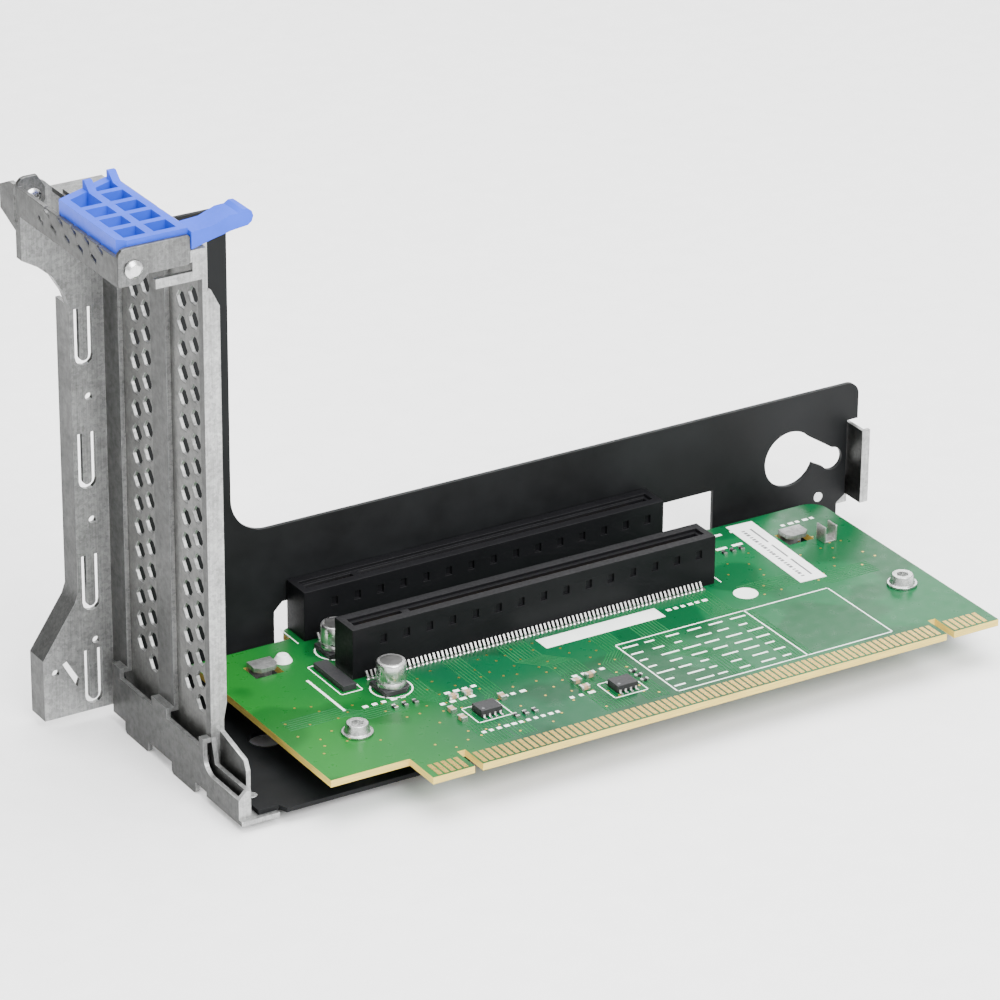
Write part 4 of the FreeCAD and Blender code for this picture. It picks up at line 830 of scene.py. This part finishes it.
def build_legend():
    """White print: a ruled table, a bar, a spot, frames and rings round parts, short marks."""
    line = sizes().print_line
    bottom, top = BOARD_TOP + ABOVE, BOARD_TOP + ABOVE + sizes().print_height
    thick = top - bottom
    left, right = BOARD_RIGHT - 76.4 * MM, BOARD_RIGHT - 22.7 * MM
    near, far = BOARD_FRONT + 6.6 * MM, BOARD_FRONT + 30.6 * MM
    split = left + (right - left) * 0.6
    slot_front = low("slot_housing_front").y

    strips = frame_strips(left, near, right, far, line, bottom, top)
    strips.append(flat_strip((split, near), (split, far), line, bottom, top))
    strips.append((
        (left - 13 * MM, slot_front - 8.0 * MM, bottom),
        (left + 16.5 * MM, slot_front - 3.5 * MM, top),
    ))
    for node, space in FRAMED:
        a, b, away = low(node), high(node), space * MM
        strips += frame_strips(
            a.x - away, a.y - away, b.x + away, b.y + away, line * 0.8, bottom, top
        )
    for slot in ("slot_housing_rear", "slot_housing_front"):
        a, b = low(slot), high(slot)
        for x in (a.x - 1.6 * MM, b.x + 1.6 * MM):
            strips.append(flat_strip((x, a.y), (x, b.y), line, bottom, top))
    x, y = low("resistor_bank").x - 3.8 * MM, low("resistor_bank").y
    strips.append(flat_strip((x, y - 7.0 * MM), (x, y + 8.0 * MM), line * 2, bottom, top))
    solid("legend_frames", boxes_mesh("legend", strips), finish("print"), "label_paper")

    spot = (BOARD_RIGHT - 39.2 * MM, slot_front - 7.4 * MM, bottom)
    disc("legend_spot_0", spot, 2.7 * MM, thick, finish("print"), "label_paper")
    for number, node in enumerate(("capacitor_front_base", "capacitor_rear_base")):
        centre = middle(node)
        radius = (high(node).x - low(node).x) * 0.5 + 0.9 * MM
        disc(
            "legend_ring_%d" % number, (centre.x, centre.y, bottom), radius + line * 1.2, thick,
            finish("print"), "label_paper", 40, radius,
        )

    rows = int((far - near) / sizes().print_row)
    column = (split - left) / 6
    for number in range(6):
        unit = boxes_mesh("bar", [((0, 0, 0), (column * 0.82, 0.5 * MM, thick))])
        place = (left + column * (number + 0.12), far - 2.2 * MM, bottom)
        step = (0, -sizes().print_row, 0)
        print_bars("legend_table_%d" % number, unit, place, rows, step, 0.4, number)

    chip_near, chip_far = low("chip_near"), low("chip_far")
    behind_near, behind_far = high("chip_near"), high("chip_far")
    for number, (x, y, count, pitch, size) in enumerate((
        (BOARD_LEFT + 36.3 * MM, BOARD_FRONT + 11.0 * MM, 11, 1.75, 1.3),
        (BOARD_LEFT + 21.0 * MM, slot_front - 12.0 * MM, 5, 2.2, 1.6),
        (BOARD_RIGHT - 58.2 * MM, slot_front - 6.2 * MM, 6, 1.8, 1.3),
        (BOARD_RIGHT - 33.0 * MM, slot_front + 13.0 * MM, 3, 4.2, 3.0),
        (BOARD_RIGHT - 30.0 * MM, slot_front + 19.0 * MM, 2, 4.6, 3.2),
        (BOARD_RIGHT - 14.0 * MM, slot_front + 16.0 * MM, 5, 1.9, 1.4),
        (chip_near.x - 4.2 * MM, behind_near.y + 4.9 * MM, 4, 2.3, 1.7),
        (chip_near.x - 1.0 * MM, behind_near.y + 8.6 * MM, 4, 2.1, 1.5),
        (behind_near.x + 3.4 * MM, behind_near.y + 1.6 * MM, 3, 2.2, 1.6),
        (chip_far.x - 9.4 * MM, behind_far.y - 1.2 * MM, 3, 2.2, 1.6),
        (chip_far.x - 4.0 * MM, behind_far.y + 6.6 * MM, 4, 2.2, 1.5),
    )):
        unit = boxes_mesh("mark", [((0, 0, 0), (size * MM, 0.9 * MM, thick))])
        place, step = (x, y, bottom), (pitch * MM, 0, 0)
        print_bars("legend_marks_%d" % number, unit, place, count, step, 0.55, 11 + number)


def print_bars(name, unit, place, count, step, shortest, seed):
    """Printed marks: a row of bars of random length, moved to its place once it is grown."""
    bars = grow(
        name, unit, bars_group, finish("print"), "label_paper",
        Count=count, Step=step, Shortest=shortest, Longest=1.0, Seed=sizes().seed + seed,
    )
    bars.data.transform(Matrix.Translation(place))


def build_tails():
    """Solder tails and joints along the feet of both card slots."""
    pitch = sizes().tail_pitch
    half = sizes().tail_width / 2
    radius, rise = sizes().joint_radius, sizes().joint_height
    cone = (
        (0.0, 0.0), (radius, 0.0), (radius * 0.55, rise * 0.45), (half * 1.1, rise), (0.0, rise)
    )
    for slot, sides in (("slot_housing_rear", (-1,)), ("slot_housing_front", (-1, 1))):
        a, b = low(slot), high(slot)
        count = int((b.x - a.x - 5.0 * MM) / pitch)
        for side in sides:
            edge = "front" if side < 0 else "back"
            x, y = a.x + 3.0 * MM, (a.y if side < 0 else b.y) + side * 1.1 * MM
            joint = turned_mesh("joint", cone, (0, 0, 0), 8)
            tail = boxes_mesh("tail", [((-half, -0.12 * MM, 0), (half, 0.12 * MM, 1.5 * MM))])
            tail.transform(Matrix.Rotation(math.radians(side * 34.0), 4, "X"))
            for kind, unit, z in (
                ("joints", joint, BOARD_TOP), ("tails", tail, BOARD_TOP + rise * 0.5)
            ):
                name = "%s_%s_%s" % (slot, kind, edge)
                grow_row(name, unit, (x, y, z), count, pitch, finish("tin"), "tin_plate")


def build_slot_springs():
    """Gilded spring contacts that show inside the mouths of both card slots."""
    pitch, width = sizes().tail_pitch, sizes().contact_width
    for slot in ("slot_housing_rear", "slot_housing_front"):
        a, b = low(slot), high(slot)
        y = (a.y + b.y) / 2
        count = int((b.x - a.x - 9.0 * MM) / pitch)
        for side, edge in ((-1, "front"), (1, "back")):
            inner, outer = sorted((y + side * 0.45 * MM, y + side * 0.86 * MM))
            unit = boxes_mesh("spring", [
                ((0, inner, b.z - 6.0 * MM), (width, outer, b.z - 1.5 * MM)),
            ])
            grow_row(
                "%s_springs_%s" % (slot, edge), unit, (a.x + 4.5 * MM, 0, 0),
                count, pitch, finish("gold"), "gold_plate",
            )


def build_chip_ends():
    """Tinned ends on the chip resistors and capacitors."""
    out = sizes().cap_overhang
    for node in ("chip_capacitors", "chip_resistors"):
        boxes = []
        for a, b in islands(node):
            axis = 0 if b.x - a.x > b.y - a.y else 1
            share = (b[axis] - a[axis]) * 0.24
            for start, end in (
                (a[axis] - out, a[axis] + share), (b[axis] - share, b[axis] + out)
            ):
                first, last = a - Vector((out, out, 0)), b + Vector((out, out, out))
                first[axis], last[axis] = start, end
                boxes.append((tuple(first), tuple(last)))
        solid(node + "_ends", boxes_mesh(node + "_ends", boxes), finish("tin"), "tin_plate")


def build_can_marks():
    """A darker disc on top of each capacitor, and a pin mark on each chip."""
    for end in ("front", "rear"):
        can = "capacitor_%s_can" % end
        centre = middle(can)
        radius = (high(can).x - low(can).x) * 0.5 * 0.74
        place = (centre.x, centre.y, high(can).z + ABOVE)
        disc("can_top_" + end, place, radius, FILM, finish("can_top"), "can_aluminium")
    for chip in ("chip_near", "chip_far"):
        corner = low(chip)
        place = (corner.x + 0.9 * MM, corner.y + 0.9 * MM, high(chip).z + ABOVE)
        disc(chip + "_mark", place, 0.32 * MM, FILM, finish("bars"), "chip_epoxy", 16)


def build_label_print():
    """Grey bars and a field of upright stripes on the white label."""
    outline = bpy.data.objects["board_label_finished"].data
    corners = outline.vertices
    steps = [
        corners[edge.vertices[1]].co - corners[edge.vertices[0]].co for edge in outline.edges
    ]
    along = max(steps, key=lambda step: step.length)
    along = along if along.y > 0 else -along
    turn = math.atan2(along.y, along.x)
    centre = middle("board_label")
    reach = (high("board_label").y - low("board_label").y) / 2
    boxes = []
    for k in range(22):
        x = -reach * 0.84 + k * reach * 0.075
        wide = reach * (0.03 + 0.012 * ((k * 5) % 3))
        boxes.append(((x, 0.7 * MM, 0.0), (x + wide, 1.5 * MM, FILM)))
    for x0, x1 in ((-0.84, -0.3), (-0.22, 0.2), (0.3, 0.78)):
        boxes.append(((reach * x0, -1.2 * MM, 0.0), (reach * x1, -0.75 * MM, FILM)))
    bars = boxes_mesh("label_bars", boxes)
    place = Matrix.Translation((centre.x, centre.y, high("board_label").z + ABOVE))
    bars.transform(place @ Matrix.Rotation(turn, 4, "Z"))
    solid("label_bars", bars, finish("bars"), "label_paper")


# ------------------------------------------------------------------ operators


def takes_painted_shade(centre, normal):
    """Faces that look along the board take the darker zinc: painted shade, chosen by which way a
    face looks.
    """
    return abs(normal.x) > 0.7


def on_board_hook(centre, normal):
    """The hooks rise in front of the carrier's wall, above its floor."""
    return centre.y < -1.5 * MM and centre.z > low("riser_board").z - 3.0 * MM


def on_cut_edge(centre, normal):
    """The board's outline and the walls of its holes are bare laminate."""
    return abs(normal.z) < 0.5


class RISER_OT_sheet_metal(bpy.types.Operator):
    """Finish the bracket, the slot covers, the end guide and the black carrier"""

    bl_idname = "riser.sheet_metal"
    bl_label = "Sheet metal"

    def execute(self, context):
        edge = sizes().sheet_edge
        # Each row: the node, its lit finish and the painted-shade finish for faces that look along
        # the board.
        for node, face, across in (
            ("rear_bracket", "zinc", "painted_shade"),
            ("end_guide", "zinc", "painted_shade"),
            ("slot_cover_rear", "zinc", "cover"),
            ("slot_cover_front", "zinc", "cover"),
            ("latch_frame", "latch_steel", "painted_shade"),
        ):
            dressed(node, finish(face), edge, second=finish(across), chosen=takes_painted_shade)
        dressed(
            "carrier_plate", finish("coating"), edge, second=finish("zinc"), chosen=on_board_hook
        )
        dressed("ground_clip", finish("tin"), edge * 0.5)
        return {"FINISHED"}


class RISER_OT_fasteners(bpy.types.Operator):
    """Finish rivets, screws, spacers and the push fastener"""

    bl_idname = "riser.fasteners"
    bl_label = "Fasteners"

    def execute(self, context):
        for node in (
            "latch_rivet_front", "latch_rivet_rear", "carrier_rivets", "guide_rivet", "standoffs",
        ):
            dressed(node, finish("rivet"), 0.1 * MM)
        dressed("board_screws", finish("screw"), 0.12 * MM)
        dressed("push_pin", finish("nylon"), 0.15 * MM)
        return {"FINISHED"}


class RISER_OT_latch(bpy.types.Operator):
    """Finish the blue latch lever"""

    bl_idname = "riser.latch"
    bl_label = "Latch lever"

    def execute(self, context):
        dressed("latch_lever", finish("lever"), sizes().lever_edge, 3)
        return {"FINISHED"}


class RISER_OT_board(bpy.types.Operator):
    """Finish the laminate and its gold edge"""

    bl_idname = "riser.board"
    bl_label = "Board"

    def execute(self, context):
        dressed(
            "riser_board", finish("mask"), sizes().board_edge,
            second=finish("laminate"), chosen=on_cut_edge,
        )
        dressed("edge_contacts", finish("gold"), 0.0)
        build_tracks()
        build_lands()
        build_legend()
        return {"FINISHED"}


class RISER_OT_slots(bpy.types.Operator):
    """Finish the two card slots and their solder tails"""

    bl_idname = "riser.slots"
    bl_label = "Card slots"

    def execute(self, context):
        for end in ("rear", "front"):
            dressed("slot_housing_" + end, finish("housing"), sizes().plastic_edge)
            dressed("slot_contacts_" + end, finish("tin"), 0.0)
        build_tails()
        build_slot_springs()
        return {"FINISHED"}


class RISER_OT_components(bpy.types.Operator):
    """Finish the capacitors, chips and small parts on the board"""

    bl_idname = "riser.components"
    bl_label = "Components"

    def execute(self, context):
        for end in ("rear", "front"):
            dressed("capacitor_%s_can" % end, finish("can"), 0.12 * MM)
            dressed("capacitor_%s_base" % end, finish("epoxy"), 0.1 * MM)
        for chip in ("chip_near", "chip_far"):
            dressed(chip, finish("epoxy"), 0.12 * MM)
            dressed(chip + "_leads", finish("tin"), 0.03 * MM)
        dressed("chip_resistors", finish("epoxy"), 0.04 * MM)
        dressed("chip_capacitors", finish("tan"), 0.06 * MM)
        dressed("resistor_bank", finish("epoxy"), 0.08 * MM)
        dressed("board_label", finish("label"), 0.0)
        build_chip_ends()
        build_can_marks()
        build_label_print()
        return {"FINISHED"}


class RISER_OT_stage(bpy.types.Operator):
    """Set the floor, the soft studio light and the camera"""

    bl_idname = "riser.stage"
    bl_label = "Stage"

    def execute(self, context):
        build_floor()
        build_lights()
        build_camera()
        return {"FINISHED"}


def build_floor():
    """A wide pale floor just under the lowest point of the part."""
    ground, half = CAD_BOX[0][2] - 0.02 * MM, 3.0
    mesh = face_mesh("floor", -half, -half, half, half, ground)
    add_object("floor", mesh, finish("floor"))


def area_light(name, place, aim, width, height, power):
    data = bpy.data.lights.new(name, "AREA")
    data.shape = "RECTANGLE"
    data.size, data.size_y = width, height
    data.energy = power
    lamp = bpy.data.objects.new(name, data)
    lamp.location = place
    lamp.rotation_euler = (Vector(aim) - Vector(place)).to_track_quat("-Z", "Y").to_euler()
    bpy.context.scene.collection.objects.link(lamp)


def build_lights():
    """Soft light from the front, above and behind; the bracket's outer side stays darker, helped by
    the painted-shade zinc on its faces that look along the board.
    """
    aim = (0.085, -0.02, 0.03)
    area_light("key_light", (0.10, -1.05, 0.80), aim, 0.9, 0.7, 26.0)
    area_light("top_light", (0.15, 0.05, 1.15), aim, 1.2, 1.2, 30.0)
    area_light("back_light", (1.05, 1.10, 0.60), (0.20, -0.04, 0.0), 0.5, 0.4, 3.2)
    area_light("side_light", (-0.95, 0.05, 0.55), aim, 0.5, 0.7, 3.0)
    world = bpy.data.worlds.new("studio")
    world.use_nodes = True
    background = world.node_tree.nodes["Background"]
    background.inputs["Color"].default_value = (1.0, 1.0, 1.0, 1.0)
    background.inputs["Strength"].default_value = 1.3
    bpy.context.scene.world = world


def build_camera():
    """The camera looks down at the part from the bracket's side, with a long lens."""
    azimuth, elevation, roll = math.radians(-31.43), math.radians(25.21), math.radians(0.43)
    target = Vector((89.63, -5.53, 22.6)) * MM
    level = math.cos(elevation)
    towards = Vector((math.sin(azimuth) * level, -math.cos(azimuth) * level, math.sin(elevation)))
    right = Vector((math.cos(azimuth), math.sin(azimuth), 0.0))
    up = towards.cross(right)
    turned_right = math.cos(roll) * right + math.sin(roll) * up
    turned_up = towards.cross(turned_right)
    data = bpy.data.cameras.new("camera")
    data.sensor_width = 36.0
    data.lens = 182.578
    data.clip_end = 20.0
    thing = bpy.data.objects.new("camera", data)
    basis = Matrix((turned_right, turned_up, towards)).transposed().to_4x4()
    thing.matrix_world = Matrix.Translation(target + towards * sizes().camera_distance) @ basis
    bpy.context.scene.collection.objects.link(thing)
    bpy.context.scene.camera = thing


class RISER_PT_panel(bpy.types.Panel):
    """Lists the steps that finish the riser card"""

    bl_idname = "RISER_PT_panel"
    bl_label = "Riser Card"
    bl_space_type = "VIEW_3D"
    bl_region_type = "UI"
    bl_category = "Riser Card"

    def draw(self, context):
        for step in STEPS:
            self.layout.operator(step.bl_idname)
        for group in (context.scene.riser_sizes, context.scene.riser_colours):
            box = self.layout.box()
            for name in group.__annotations__:
                box.prop(group, name)


STEPS = (
    RISER_OT_sheet_metal,
    RISER_OT_fasteners,
    RISER_OT_latch,
    RISER_OT_board,
    RISER_OT_slots,
    RISER_OT_components,
    RISER_OT_stage,
)
CLASSES = (RiserSizes, RiserColours, *STEPS, RISER_PT_panel)


def register():
    for item in CLASSES:
        bpy.utils.register_class(item)
    bpy.types.Scene.riser_sizes = PointerProperty(type=RiserSizes)
    bpy.types.Scene.riser_colours = PointerProperty(type=RiserColours)


def unregister():
    del bpy.types.Scene.riser_colours
    del bpy.types.Scene.riser_sizes
    for item in reversed(CLASSES):
        bpy.utils.unregister_class(item)


def main():
    register()
    bpy.ops.riser.sheet_metal()
    bpy.ops.riser.fasteners()
    bpy.ops.riser.latch()
    bpy.ops.riser.board()
    bpy.ops.riser.slots()
    bpy.ops.riser.components()
    bpy.ops.riser.stage()


if __name__ == "__main__":
    main()
